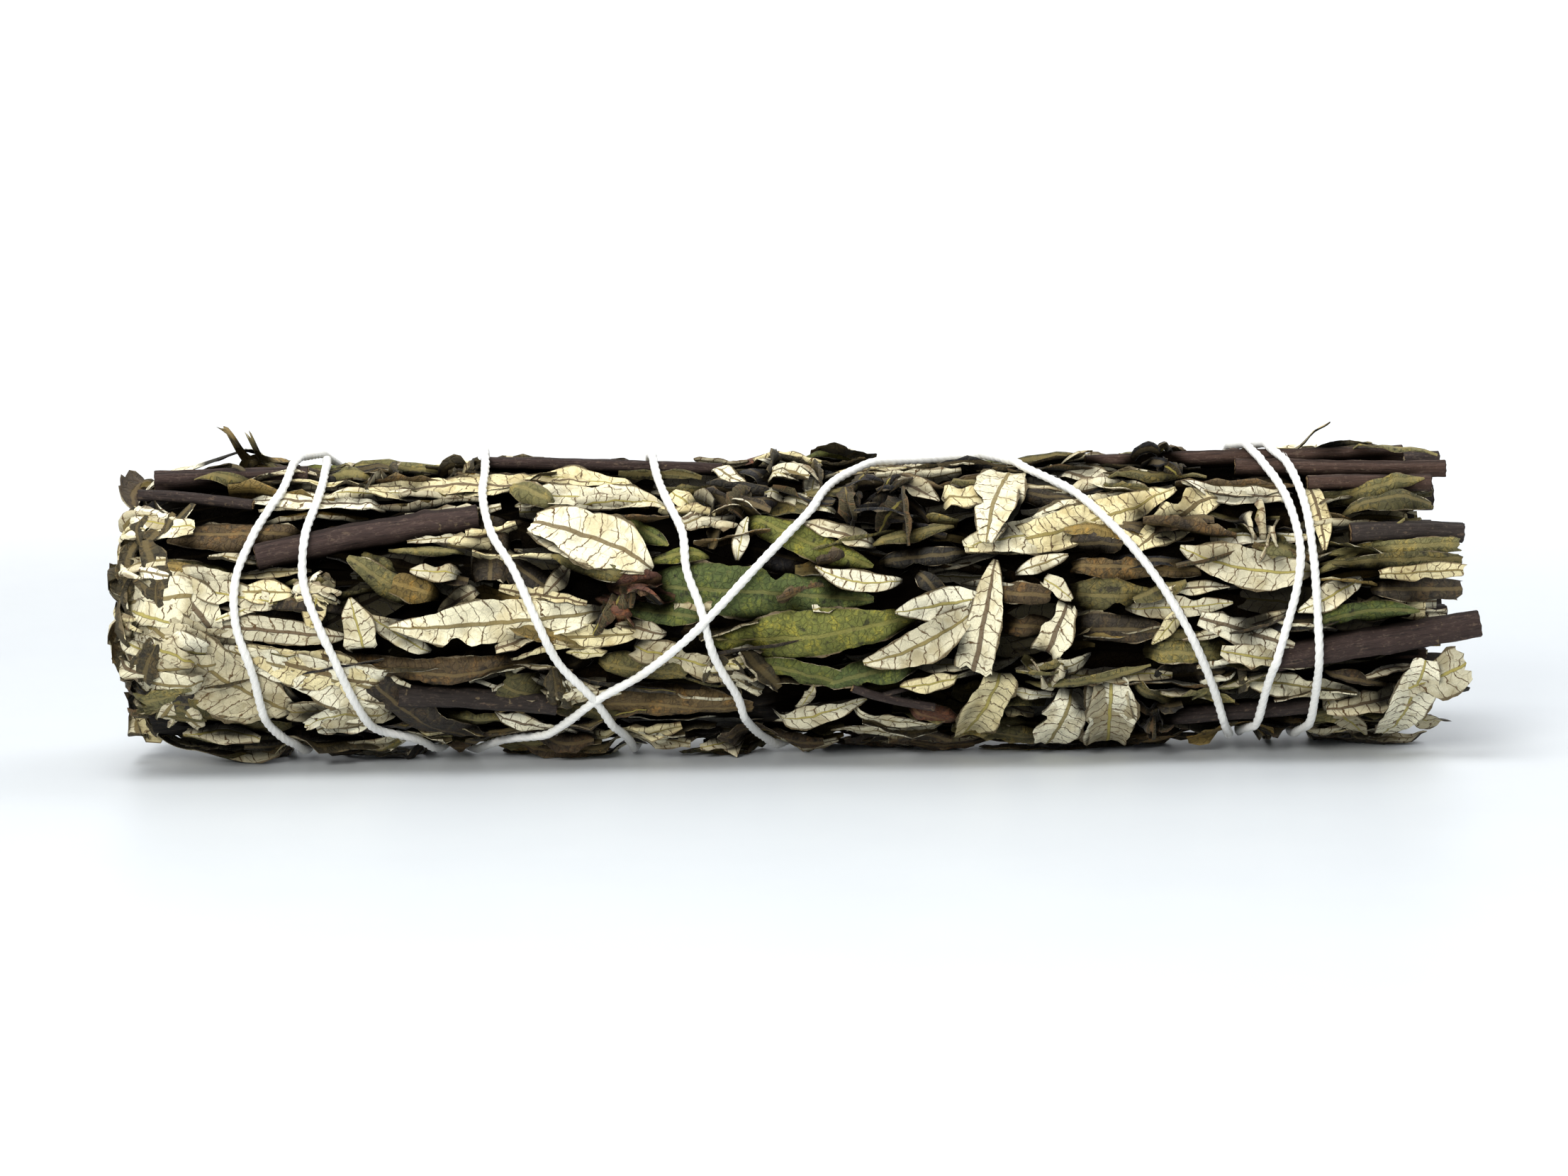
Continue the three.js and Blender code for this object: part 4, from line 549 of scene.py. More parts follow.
class Leaf:
    """One leaf laid on the bundle, from its tail (s = 0) to its tip (s = 1), t across it from -1 to 1."""

    def __init__(self, draw, face, start, end, width, bow=0, tail_cut=0.03, tip_cut=0.02, lift=0):
        self.face = face
        self.start = start
        self.width = width
        self.bow = bow
        self.tail_cut = tail_cut
        self.tip_cut = tip_cut
        self.lift = lift
        self.under = False
        span = (end[0] - start[0], (end[1] - start[1]) * SEEN_RADIUS)
        self.length = math.hypot(*span)
        self.forward = (span[0] / self.length, span[1] / self.length)
        self.seed = draw.next()
        self.lean = draw.between(-0.12, 0.12)
        palm = draw.between(0.08, 0.26)
        self.cup = palm if face == "pale" else -0.8 * palm
        self.tilt = 0
        if self.length < SHORT_LEAF:
            self.stations = np.array(SHORT_STATIONS)
        elif self.length < LONG_LEAF:
            self.stations = np.array(MIDDLE_STATIONS)
        else:
            self.stations = np.array(LONG_STATIONS)
        self.heights = np.zeros(len(self.stations))

    def half_width(self, s, t):
        share = self.tail_cut + (1 - self.tail_cut - self.tip_cut) * s
        form = np.maximum(0, np.sin(math.pi * np.power(share, 0.9))) ** 0.8
        wave = 1 + 0.1 * np.sin(self.seed * 40 + 9 * s + np.where(t < 0, 2.1, 0))
        return np.maximum(0.2, 0.5 * self.width * form * wave)

    def place(self, s, t):
        side = self.bow * 4 * s * (1 - s) + t * self.half_width(s, t)
        run = self.length * s
        along = self.start[0] + self.forward[0] * run - self.forward[1] * side
        around = self.start[1] + (self.forward[1] * run + self.forward[0] * side) / SEEN_RADIUS
        return along, around

    def relief(self, s, t):
        if self.under:
            return UNDER_MIDDLE / np.abs(np.sin(self.place(s, t)[1]))
        half = self.half_width(s, t)
        wave = np.sin(self.seed * 70 + 11 * s + np.where(t < 0, 1.3, 0))
        edge = np.abs(t)
        return self.tilt * t * half + self.cup * edge * half + 0.22 * edge * wave + self.lift * s * s

    def height(self, s):
        return np.interp(s, self.stations, self.heights)

    def top(self, s, t):
        return self.height(s) + self.relief(s, t) + 0.5 * BLADE_THICKNESS * (1 - np.abs(t))

    def lay(self):
        """Lays the leaf on the pile, stiff between its stations."""
        slope = 0
        for s in (0.25, 0.5, 0.75):
            left = pile[cell(*self.place(s, -0.8))]
            right = pile[cell(*self.place(s, 0.8))]
            slope += (right - left) / (1.6 * self.half_width(s, 0)) / 3
        self.tilt = float(np.clip(0.8 * slope + self.lean, -0.4, 0.4))
        needed = np.zeros(len(self.stations))
        allowed = np.full(len(self.stations), np.inf)
        for k in range(len(self.stations) - 1):
            s, t = np.meshgrid(self.stations[k] + np.diff(self.stations)[k] * PARTS, SIDES)
            place = self.place(s, t)
            half = 0.5 * BLADE_THICKNESS * (1 - np.abs(t))
            raised = self.relief(s, t) - self.lift * s * s
            most = max(0, np.max(pile[cell(*place)] + LAY_GAP + half - raised))
            least = np.min(limit(*place) - raised - half)
            needed[k:k + 2] = np.maximum(needed[k:k + 2], most)
            allowed[k:k + 2] = np.minimum(allowed[k:k + 2], least)
        self.heights = needed * 0 if self.under else np.minimum(needed, allowed)
        self.cover()

    def cover(self):
        """The leaf covers the pile with its upper face."""
        if self.lift >= 1:
            return
        steps = math.ceil(self.length / 0.6)
        rows = math.ceil(self.width / 0.6)
        s, t = np.meshgrid(np.arange(steps + 1) / steps, np.arange(-rows, rows + 1) / rows)
        np.maximum.at(pile, cell(*self.place(s, t)), self.top(s, t))


class Stem:
    """A bare stem's centre line, as places along and around at one radius."""

    def __init__(self, name, start, end, diameter, outer_radius):
        self.name = name
        self.start = start
        self.end = end
        self.diameter = diameter
        self.radius = outer_radius - diameter / 2

    def around(self, along):
        share = (along - self.start[0]) / (self.end[0] - self.start[0])
        return self.start[1] + (self.end[1] - self.start[1]) * share

    def cover(self):
        half = self.diameter / 2
        along, off = np.meshgrid(
            np.arange(math.ceil(self.start[0]), self.end[0] + 0.01), np.arange(-half, half, 0.4)
        )
        top = self.radius + np.sqrt(np.maximum(half * half - off * off, 0))
        np.maximum.at(pile, cell(along, self.around(along) + off / SEEN_RADIUS), top)

    def line(self):
        s = np.array([0, 0.33, 0.67, 1])
        along = self.start[0] + (self.end[0] - self.start[0]) * s
        bend = 0.02 * np.sin(3 * s + self.diameter * 7)
        around = self.start[1] + (self.end[1] - self.start[1]) * s + bend
        points = point(np.maximum(along, SHOULDER_X), around, self.radius)
        points[:, 0] = along
        return points


def press_bed():
    """The bed gives way where the leaves stand too far out, and rises where they fall short."""
    excess = pile - outside(grid_along, grid_around)
    excess = np.where(excess > 0, excess * PEAK_WEIGHT, excess)
    reach = 4
    padded = np.pad(excess, ((reach, reach), (0, 0)), mode="edge")
    padded = np.pad(padded, ((0, 0), (reach, reach)), mode="wrap")
    total = np.zeros_like(excess)
    for i in range(2 * reach + 1):
        for j in range(2 * reach + 1):
            total += padded[i:i + GRID_LENGTH, j:j + GRID_AROUND]
    mean = total / (2 * reach + 1) ** 2
    give[:] = np.clip(give + 0.7 * mean, LEAST_GIVE, MOST_GIVE)


def clear_pile(below=0):
    pile[:] = BED_RADIUS + lumps(grid_along, grid_around) - give - below


def curve_points(points, shares):
    """Places on a centripetal Catmull-Rom curve, at shares of its points' run."""
    points = np.asarray(points, float)
    first = 2 * points[0] - points[1]
    last = 2 * points[-1] - points[-2]
    padded = np.vstack([first, points, last])
    run = np.clip(shares, 0, 1) * (len(points) - 1)
    k = np.minimum(run.astype(int), len(points) - 2)
    w = (run - k)[:, None]
    p0, p1, p2, p3 = (padded[k + n] for n in range(4))
    d0, d1, d2 = (
        np.sqrt(np.linalg.norm(b - a, axis=1))[:, None] for a, b in ((p0, p1), (p1, p2), (p2, p3))
    )
    t1 = ((p1 - p0) / d0 - (p2 - p0) / (d0 + d1) + (p2 - p1) / d1) * d1
    t2 = ((p2 - p1) / d1 - (p3 - p1) / (d1 + d2) + (p3 - p2) / d2) * d1
    c2 = -3 * p1 + 3 * p2 - 2 * t1 - t2
    c3 = 2 * p1 - 2 * p2 + t1 + t2
    return p1 + t1 * w + c2 * w ** 2 + c3 * w ** 3


def run_along(points):
    """How far along a line each of its points is."""
    return np.concatenate([[0], np.cumsum(np.linalg.norm(np.diff(points, axis=0), axis=1))])


def directions(points):
    """The way that a line runs at each of its points."""
    forward = np.gradient(points, axis=0)
    return forward / np.linalg.norm(forward, axis=1)[:, None]


def even_points(points, count, divisions):
    """Places evenly spaced along the curve, with its length."""
    shares = np.linspace(0, 1, divisions + 1)
    fine = curve_points(points, shares)
    run = run_along(fine)
    places = curve_points(points, np.interp(np.linspace(0, run[-1], count + 1), run, shares))
    return places, run[-1]


def string_route():
    route = [[KNOT_X - KNOT_ENDS_APART / 2, (KNOT_AROUND - 2 * math.pi) * SEEN_RADIUS]]
    for number, way in enumerate(STRING_PASSES):
        for x, height in way:
            route.append([x, (around_of(x, height) + 2 * math.pi * number) * SEEN_RADIUS])
        if STRING_BACKS[number] is not None:
            route.append([STRING_BACKS[number], (math.pi + 2 * math.pi * number) * SEEN_RADIUS])
    end = KNOT_AROUND + 2 * math.pi * (len(STRING_PASSES) - 1)
    route.append([KNOT_X + KNOT_ENDS_APART / 2, end * SEEN_RADIUS])
    return np.array(route)


def mark_string():
    places = curve_points(string_route(), np.linspace(0, 1, 4001))
    for dx in range(-3, 4):
        for da in range(-2, 3):
            under_string[cell(places[:, 0] + dx, places[:, 1] / SEEN_RADIUS + da * GRID_STEP)] = True


def rule_leaves(draw):
    made = []
    for column in range(RULE_COLUMNS):
        for row in range(RULE_ROWS):
            share = (column + 0.5 * (row % 2) + draw.between(-0.25, 0.25)) / RULE_COLUMNS
            middle = RULE_LEFT + (RULE_RIGHT - RULE_LEFT) * share
            around = RULE_FROM + (RULE_TO - RULE_FROM) * (row + 0.5 + draw.between(-0.3, 0.3)) / RULE_ROWS
            steep = draw.between(0.8, 1.3) if draw.next() < 0.15 else draw.between(0, 0.42)
            turn = steep if draw.next() < 0.5 else -steep
            length = draw.between(16, 22) if steep > 0.8 else draw.between(27, 42)
            width = draw.between(6.2, 9.6)
            face = draw.pick(RULE_FACES)
            half = (1 if draw.next() < 0.5 else -1) * length / 2
            dx, da = half * math.cos(turn), half * math.sin(turn) / SEEN_RADIUS
            cut = 0.3 if draw.next() < 0.25 else 0.03
            start = (min(RULE_FURTHEST, middle + dx), around + da)
            end = (min(RULE_FURTHEST, middle - dx), around - da)
            bow = draw.between(-1.2, 1.2)
            made.append(Leaf(draw, face, start, end, width, bow, 0.03, cut))
    return made


def end_leaves(draw):
    made = []
    for i in range(END_LEAVES):
        share = (i + draw.between(0.3, 0.7)) / END_LEAVES
        around = RULE_FROM - 0.1 + (RULE_TO - RULE_FROM + 0.3) * share
        start = draw.between(-92, -84)
        face = draw.pick(RULE_FACES)
        end = start - draw.between(24, 32)
        drift = draw.between(-0.25, 0.25)
        width = draw.between(7, 11)
        made.append(Leaf(draw, face, (start, around), (end, around + drift), width, 0, 0.03, 0.1))
    return made


def under_leaves(draw):
    made = []
    for x, degrees, length, width, turn_degrees, face in UNDER_LEAVES:
        around = math.radians(degrees)
        turn = math.radians(turn_degrees)
        dx, da = math.cos(turn) * length / 2, math.sin(turn) * length / 2 / SEEN_RADIUS
        leaf = Leaf(draw, face, (x + dx, around + da), (x - dx, around - da), width, 0, 0.05, 0.1)
        leaf.under = True
        made.append(leaf)
    return made


def front_leaves(draw, rows):
    made = []
    for face, x1, h1, x2, h2, width, *rest in rows:
        start = (x1, around_of(x1, h1))
        end = (x2, around_of(x2, h2))
        made.append(Leaf(draw, face, start, end, width, *rest))
    return made


def make_stems():
    made = []
    for i, (x1, h1, x2, h2, diameter, outer) in enumerate(FRONT_STEMS):
        start = (x1, around_of(x1, h1))
        end = (x2, around_of(x2, h2))
        made.append(Stem(f"front_stem_{i + 1}", start, end, diameter, outer))
    for i, (x1, x2, degrees, drift, diameter, outer) in enumerate(BACK_STEMS):
        start = (x1, math.radians(degrees))
        end = (x2, math.radians(degrees + drift))
        made.append(Stem(f"back_stem_{i + 1}", start, end, diameter, outer))
    return made


# Leaf colours in linear light, a few of each kind
TINTS = {
    "pale": [
        (0.86, 0.8, 0.57), (0.68, 0.63, 0.45), (0.82, 0.72, 0.42), (0.92, 0.87, 0.66), (0.56, 0.5, 0.33),
    ],
    "olive": [(0.115, 0.1, 0.034), (0.16, 0.145, 0.055), (0.085, 0.075, 0.026)],
    "brown": [(0.08, 0.052, 0.023), (0.12, 0.08, 0.032), (0.055, 0.037, 0.02)],
    "dark": [(0.03, 0.023, 0.016), (0.045, 0.034, 0.021), (0.024, 0.021, 0.016)],
    "green": [(0.105, 0.125, 0.026), (0.14, 0.15, 0.03), (0.075, 0.1, 0.026)],
    "gold": [(0.19, 0.13, 0.035), (0.15, 0.11, 0.035)],
    "red": [(0.085, 0.035, 0.022), (0.12, 0.05, 0.028)],
    "black": [(0.012, 0.012, 0.014), (0.018, 0.016, 0.017)],
}
PALE_BACK = (0.6, 0.54, 0.37)
DARK_BACK = (0.05, 0.04, 0.02)
COTTON_TINT = (0.86, 0.85, 0.8)
# Near black tints of the pressed core: partly the leaves' own dark colour, partly painted shade for the
# gaps it shows through
CORE_TINT = (0.05, 0.036, 0.02)
CORE_END_TINT = (0.06, 0.045, 0.028)
CUT_TINT = (0.3, 0.2, 0.1)
DARK_BACKED = ["pale", "black", "red", "dark"]
BLADE_HALF = 0.17
UNDERSIDE, UPPERSIDE, PRESSED = 0, 1, 2
BARK, CUT_WOOD = 0, 1

# Colours of the materials in linear light, with alpha
SPOT_BROWN = (0.13, 0.07, 0.03, 1)
FINE_NET_TAN = (0.3, 0.25, 0.12, 1)
NET_BROWN = (0.16, 0.1, 0.045, 1)
VEIN_BROWN = (0.12, 0.07, 0.03, 1)
MIDRIB_YELLOW = (0.36, 0.3, 0.07, 1)
MIDRIB_OCHRE = (0.19, 0.14, 0.045, 1)
MIDRIB_BROWN = (0.1, 0.06, 0.03, 1)
RIM_BROWN = (0.11, 0.065, 0.03, 1)
BLOTCH_BLACK = (0.012, 0.009, 0.007, 1)
# Near black painted shade for the gaps between pieces
PAINTED_GAP_SHADE_BLACK = (0.002, 0.0015, 0.001, 1)
# Painted shade between the pressed core's layers
PRESSED_SHADE_BLACK = (0.004, 0.003, 0.003, 1)
FLECK_TAN = (0.12, 0.09, 0.045, 1)
FLAKE_TAN = (0.16, 0.11, 0.075, 1)
CRACK_BLACK = (0.012, 0.008, 0.008, 1)
LICHEN_TAN = (0.3, 0.22, 0.12, 1)
WOOD_PALE = (0.36, 0.24, 0.12, 1)
WOOD_RING = (0.22, 0.13, 0.06, 1)
WOOD_STAIN = (0.08, 0.045, 0.025, 1)
PITH_BROWN = (0.1, 0.055, 0.03, 1)
BARK_RING = (0.03, 0.018, 0.014, 1)
COTTON_SHADE = (0.78, 0.77, 0.73, 1)
COTTON_WHITE = (0.95, 0.95, 0.92, 1)
COTTON_STAIN = (0.55, 0.5, 0.38, 1)
# Painted shade on the floor round the bundle, in two greys for a speckle
FLOOR_SHADE_GREY = (0.56, 0.59, 0.62, 1)
FLOOR_SHADE_PALE_GREY = (0.59, 0.62, 0.645, 1)
FLOOR_WHITE = (0.93, 0.94, 0.95, 1)


class Patch:
    """Grids of points gathered into one mesh, with what its materials read at each point."""

    def __init__(self):
        self.points = []
        self.faces = []
        self.slots = []
        self.lie = []
        self.own = []
        self.tint = []
        self.count = 0

    def grid(self, points, slot, lie, own, tint, flip=False, closed=False):
        rows, columns = points.shape[:2]
        index = self.count + np.arange(rows * columns).reshape(rows, columns)
        if closed:
            index = np.hstack([index, index[:, :1]])
        corners = [index[:-1, :-1], index[1:, :-1], index[1:, 1:], index[:-1, 1:]]
        quads = np.stack(corners, axis=-1).reshape(-1, 4)
        self.faces.append(quads[:, ::-1] if flip else quads)
        self.slots.append(np.full(len(quads), slot))
        self.points.append(points.reshape(-1, 3))
        self.lie.append(np.broadcast_to(lie, points.shape).reshape(-1, 3))
        self.own.append(np.broadcast_to(own, points.shape).reshape(-1, 3))
        self.tint.append(np.broadcast_to(tint, points.shape).reshape(-1, 3))
        self.count += rows * columns

    def piece(self, name, materials, level):
        points = np.concatenate(self.points)
        # Painted shade: how far each point lies below the pieces round it, for the materials to darken the
        # colour in gaps
        painted_gap_shade = painted_gap_shade_at(points, level)
        over = np.maximum(0, LEFT_MOST_X - points[:, 0])
        points[:, 0] += over - np.tanh(over)
        points[:, 2] = np.maximum(points[:, 2], LIFT_OFF_FLOOR - FLOOR_BELOW_AXIS)
        points = (points + SHIFT) * 0.001
        quads = np.concatenate(self.faces)
        mesh = bpy.data.meshes.new(name)
        mesh.vertices.add(len(points))
        mesh.vertices.foreach_set("co", points.astype(np.float32).ravel())
        mesh.loops.add(quads.size)
        mesh.loops.foreach_set("vertex_index", quads.astype(np.int32).ravel())
        mesh.polygons.add(len(quads))
        mesh.polygons.foreach_set("loop_start", np.arange(0, quads.size, 4, dtype=np.int32))
        mesh.polygons.foreach_set("material_index", np.concatenate(self.slots).astype(np.int32))
        mesh.polygons.foreach_set("use_smooth", np.ones(len(quads), bool))
        mesh.update(calc_edges=True)
        add_vectors(mesh, "lie", np.concatenate(self.lie))
        add_vectors(mesh, "own", np.concatenate(self.own))
        add_vectors(mesh, "tint", np.concatenate(self.tint))
        # The painted gap shade is stored on the mesh as a point attribute
        shade = mesh.attributes.new("painted_gap_shade", "FLOAT", "POINT")
        shade.data.foreach_set("value", painted_gap_shade.astype(np.float32))
        for material in materials:
            mesh.materials.append(material)
        made = bpy.data.objects.new(name, mesh)
        bpy.context.scene.collection.objects.link(made)
        return made


def add_vectors(mesh, name, values):
    attribute = mesh.attributes.new(name, "FLOAT_VECTOR", "POINT")
    attribute.data.foreach_set("vector", values.astype(np.float32).ravel())


def shift_of_axis():
    """Where the bundle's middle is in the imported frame, from its middle stem."""
    low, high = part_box("inner_stem_1")
    middle = (np.array(low) + np.array(high)) * 500
    return middle - np.array([INNER_MIDDLE_X, 0, 0])


def tint_of(face, draw):
    colour = np.array(draw.pick(TINTS[face]))
    return colour * draw.between(0.85, 1.12)


def ruffle(seed, across, along):
    """Small folds of a dried blade."""
    a = np.sin(along * 0.9 + across * 0.5 + seed * 31)
    b = np.sin(along * 0.41 - across * 0.8 + seed * 57)
    c = np.sin(along * 1.9 + across * 1.1 + seed * 83)
    return 0.2 * a * b + 0.2 * b + 0.05 * c


def blade_points(leaf, rows, columns):
    """The middle surface of a leaf in fine steps, with its distances along and across in mm."""
    s = np.linspace(0, 1, rows + 1)[:, None]
    t = np.sin(np.linspace(-1, 1, columns + 1) * math.pi / 2)[None, :]
    along = s * leaf.length
    side = np.sign(t)
    tooth = 0.07 * np.abs(t) * (2 * np.abs((along / 2.6 + 0.3 * side + leaf.seed * 7) % 1 - 0.5) - 0.5)
    tear = 0.09 * np.abs(t) * np.sin(along * 0.55 + leaf.seed * 21 + 2 * side)
    bitten = leaf.seed * 37 % 1 < 0.4
    bite_at = (0.25 + 0.5 * (leaf.seed * 91 % 1)) * leaf.length
    bite_side = 1 if leaf.seed * 53 % 1 < 0.5 else -1
    bite = 0.55 * bitten * (side == bite_side) * np.exp(-((along - bite_at) / 1.3) ** 2) * np.abs(t) ** 2
    wide = t * (1 + tooth + tear - bite)
    jag = 0.5 * np.sin(t * 5 + leaf.seed * 9) + 0.5 * np.sin(t * 11 + leaf.seed * 17)
    cut = leaf.tail_cut * (1 - s) ** 6 - leaf.tip_cut * s ** 6
    s_cut = s + 0.35 * cut * jag * min(1, 6 / leaf.length)
    across = wide * leaf.half_width(s, t)
    return s_cut, wide, along + 0 * t, across


def leaf_blade(patch, leaf, draw, step):
    rows = int(np.clip(leaf.length / step, 6, 64))
    columns = 2 * int(np.clip(leaf.width / step / 1.7, 3, 8))
    s, t, along, across = blade_points(leaf, rows, columns)
    half = leaf.half_width(s, t)
    pale = leaf.face == "pale"
    rim = smooth(0.62, 1, np.abs(t))
    roll = (draw.between(0.1, 0.5) if pale else -draw.between(0.3, 1.0)) * rim * np.minimum(half, 3) / 3
    ridge = np.exp(-(across / 0.45) ** 2) * (0.22 if pale else -0.16)
    lateral = (along - 0.8 * np.abs(across)) / vein_spacing(leaf)
    pucker = (0.07 if pale else -0.06) * np.cos(2 * math.pi * lateral) * (1 - rim)
    dip = 1.2 * (1 - smooth(0, 0.12, s))
    twist = draw.between(-0.35, 0.35) * (s - 0.5) * t * half
    raised = roll + ridge + pucker + twist + ruffle(leaf.seed, across, along) - dip
    place = leaf.place(s, t)
    lifted = leaf.lift * s * s
    radius = pressed(*place, leaf.height(s) + leaf.relief(s, t) - lifted + raised) + lifted
    thick = BLADE_HALF * (1 - np.abs(t) ** 6) * np.ones_like(s)
    thick[0] = thick[-1] = 0
    lie = np.stack([across, along, half + 0 * s], axis=-1)
    own = np.array([leaf.seed, draw.next(), vein_spacing(leaf)])
    tint = tint_of(leaf.face, draw)
    outer = point(*place, radius + thick)
    inner = point(*place, radius - thick)
    patch.grid(outer, UNDERSIDE if pale else UPPERSIDE, lie, own, tint)
    back = DARK_BACK if pale else PALE_BACK
    patch.grid(inner, UPPERSIDE if pale else UNDERSIDE, lie, own, back, flip=True)


def vein_spacing(leaf):
    return 1.7 + 1.1 * leaf.seed


def core_skin(patch, number, draw):
    """The pressed leaves under the ones that show, with both of its ends."""
    count = 150
    x = np.linspace(CORE_LEFT, CORE_RIGHT, count)[:, None]
    share = np.linspace(0, 1, 15)[None, :]
    low = np.array([wall_angle(number, v) for v in x[:, 0]])[:, None]
    next_wall = (number + 1) % LEAFY_STEMS
    full = 2 * math.pi if next_wall == 0 else 0
    high = np.array([wall_angle(next_wall, v) + full for v in x[:, 0]])[:, None]
    angle = low + (high - low) * share
    over = np.maximum(0, SHOULDER_X - x)
    drop = SHOULDER_RADIUS - np.sqrt(np.maximum(SHOULDER_RADIUS ** 2 - over ** 2, 0))
    radius = bed(x, angle) - CORE_BELOW_BED - drop
    down = np.maximum(0.1, -np.sin(angle))
    lowest = np.where(down > UNDERSIDE_FROM, np.minimum(BED_RADIUS, UNDERSIDE_CORE / down), 0)
    radius = np.maximum(radius, lowest - 0.8) + layers(x, angle * BED_RADIUS)
    points = np.stack([x + 0 * angle, -radius * np.cos(angle), radius * np.sin(angle)], axis=-1)
    lie = np.stack([angle * BED_RADIUS, x + 0 * angle, 0 * angle], axis=-1)
    own = np.array([0.13 * number, 0.5, 2])
    patch.grid(points, PRESSED, lie, own, CORE_TINT)
    for end, row, sign in ((0, 0, -1), (count - 1, -1, 1)):
        core_cap(patch, points[row], angle[row], sign, own)


def layers(along, around):
    ridge = np.abs(np.sin(around * 1.25 + 1.3 * np.sin(along / 11) + np.sin(along / 3.7) * 0.4))
    return 0.7 * ridge + 0.25 * np.sin(along / 2.3 + around) - 0.6


def core_cap(patch, rim, angle, sign, own):
    inwards = np.linspace(1, 0, 10)[:, None, None]
    points = rim[None] * np.array([0, 1, 1]) * inwards
    radius = np.linalg.norm(points[..., 1:], axis=-1)
    points[..., 0] = rim[None, :, 0] - sign * (1 - inwards[..., 0]) * 1.5
    rough = np.sin(radius * 1.7 + 3 * np.sin(angle * 3))
    points[..., 0] += 0.9 * rough * np.sin(math.pi * inwards[..., 0])
    lie = np.stack([radius * 2, angle[None] * 9 + 0 * radius, 0 * radius], axis=-1)
    patch.grid(points, PRESSED, lie, own, CORE_END_TINT, flip=sign < 0)


def strip(patch, centre, side, half, face, draw, cup=0.25, curl=0.0):
    """A loose blade along a centre line, for the leaf ends that show at the bundle's two ends."""
    columns = 8
    t = np.linspace(-1, 1, columns + 1)[None, :, None]
    forward = directions(centre)
    side = side - forward * np.sum(side * forward, axis=1)[:, None]
    side /= np.linalg.norm(side, axis=1)[:, None]
    normal = np.cross(forward, side)
    run = run_along(centre)
    seed = draw.next()
    edge = t[..., 0]
    along = run[:, None]
    uneven = 0.2 * np.sin(along * 1.7 + seed * 40 + 2 * edge)
    uneven = uneven + 0.12 * np.sin(along * 4.3 + seed * 90 + 5 * edge)
    across = edge * half[:, None] * (1 + np.abs(edge) * uneven)
    bend = cup * np.abs(t[..., 0]) ** 2 * half[:, None] + ruffle(seed, across, run[:, None])
    bend = bend + curl * np.sin(t[..., 0] * 2.5) * half[:, None] * 0.3
    middle = centre[:, None] + side[:, None] * across[..., None] + normal[:, None] * bend[..., None]
    middle = press_points(middle)
    thick = normal[:, None] * (BLADE_HALF * (1 - t ** 6))
    lie = np.stack([across, along + 0 * across, half[:, None] + 0 * across], axis=-1)
    own = np.array([seed, draw.next(), 1.7 + seed])
    pale = face == "pale"
    tint = tint_of(face, draw)
    back = DARK_BACK if face in DARK_BACKED else PALE_BACK
    patch.grid(middle + thick, UNDERSIDE if pale else UPPERSIDE, lie, own, tint)
    patch.grid(middle - thick, UPPERSIDE if pale else UNDERSIDE, lie, own, back, flip=True)


def press_points(points):
    """Points of loose blades, kept under the string."""
    radius = np.maximum(np.hypot(points[..., 1], points[..., 2]), 1e-6)
    around = np.arctan2(points[..., 2], -points[..., 1])
    kept = np.minimum(1, pressed(points[..., 0], around, radius) / radius)
    return points * np.stack([np.ones_like(kept), kept, kept], axis=-1)


def outwards_at(around):
    return np.array([0, -math.cos(around), math.sin(around)])


def room_at(y, z, blocked):
    """How far a place on the end face is from the nearest stem."""
    return min(math.hypot(y - stem_y, z - stem_z) - radius for stem_y, stem_z, radius in blocked)


def slivers(patches, draw):
    """Narrow folded pieces of leaf that stand on edge between the others."""
    for i in range(SLIVERS):
        along = draw.between(*SLIVERS_ALONG)
        low_edge = i % LOW_EDGE_EVERY == 0
        around = draw.between(*(LOW_EDGE_AROUND if low_edge else SLIVERS_AROUND))
        length = draw.between(7, 20)
        turn = draw.between(-0.35, 0.35)
        s = np.linspace(0, 1, 10)
        x = along + length * (s - 0.5) * math.cos(turn)
        angle = around + length * (s - 0.5) * math.sin(turn) / SEEN_RADIUS
        rise = draw.between(*SLIVER_RISE) + (LOW_EDGE_RISE if low_edge else 0)
        radius = bed_at(along, around) + rise + 0.5 * np.sin(s * 5 + along)
        centre = point(np.minimum(x, SLIVERS_MOST_X), angle, radius)
        stand = draw.between(0.35, 1.3) * (1 if draw.next() < 0.5 else -1)
        outwards = outwards_at(around)
        sideways = np.array([0, math.sin(around), math.cos(around)])
        side = np.tile(sideways * math.cos(stand) + outwards * math.sin(stand), (10, 1))
        half = draw.between(0.8, 2.3) * np.sin(math.pi * (0.12 + 0.8 * s)) ** 0.7
        face = draw.pick(SLIVER_FACES)
        strip(patches[owner_of(along, around)], centre, side, half, face, draw, draw.between(-0.5, 0.5), 1)


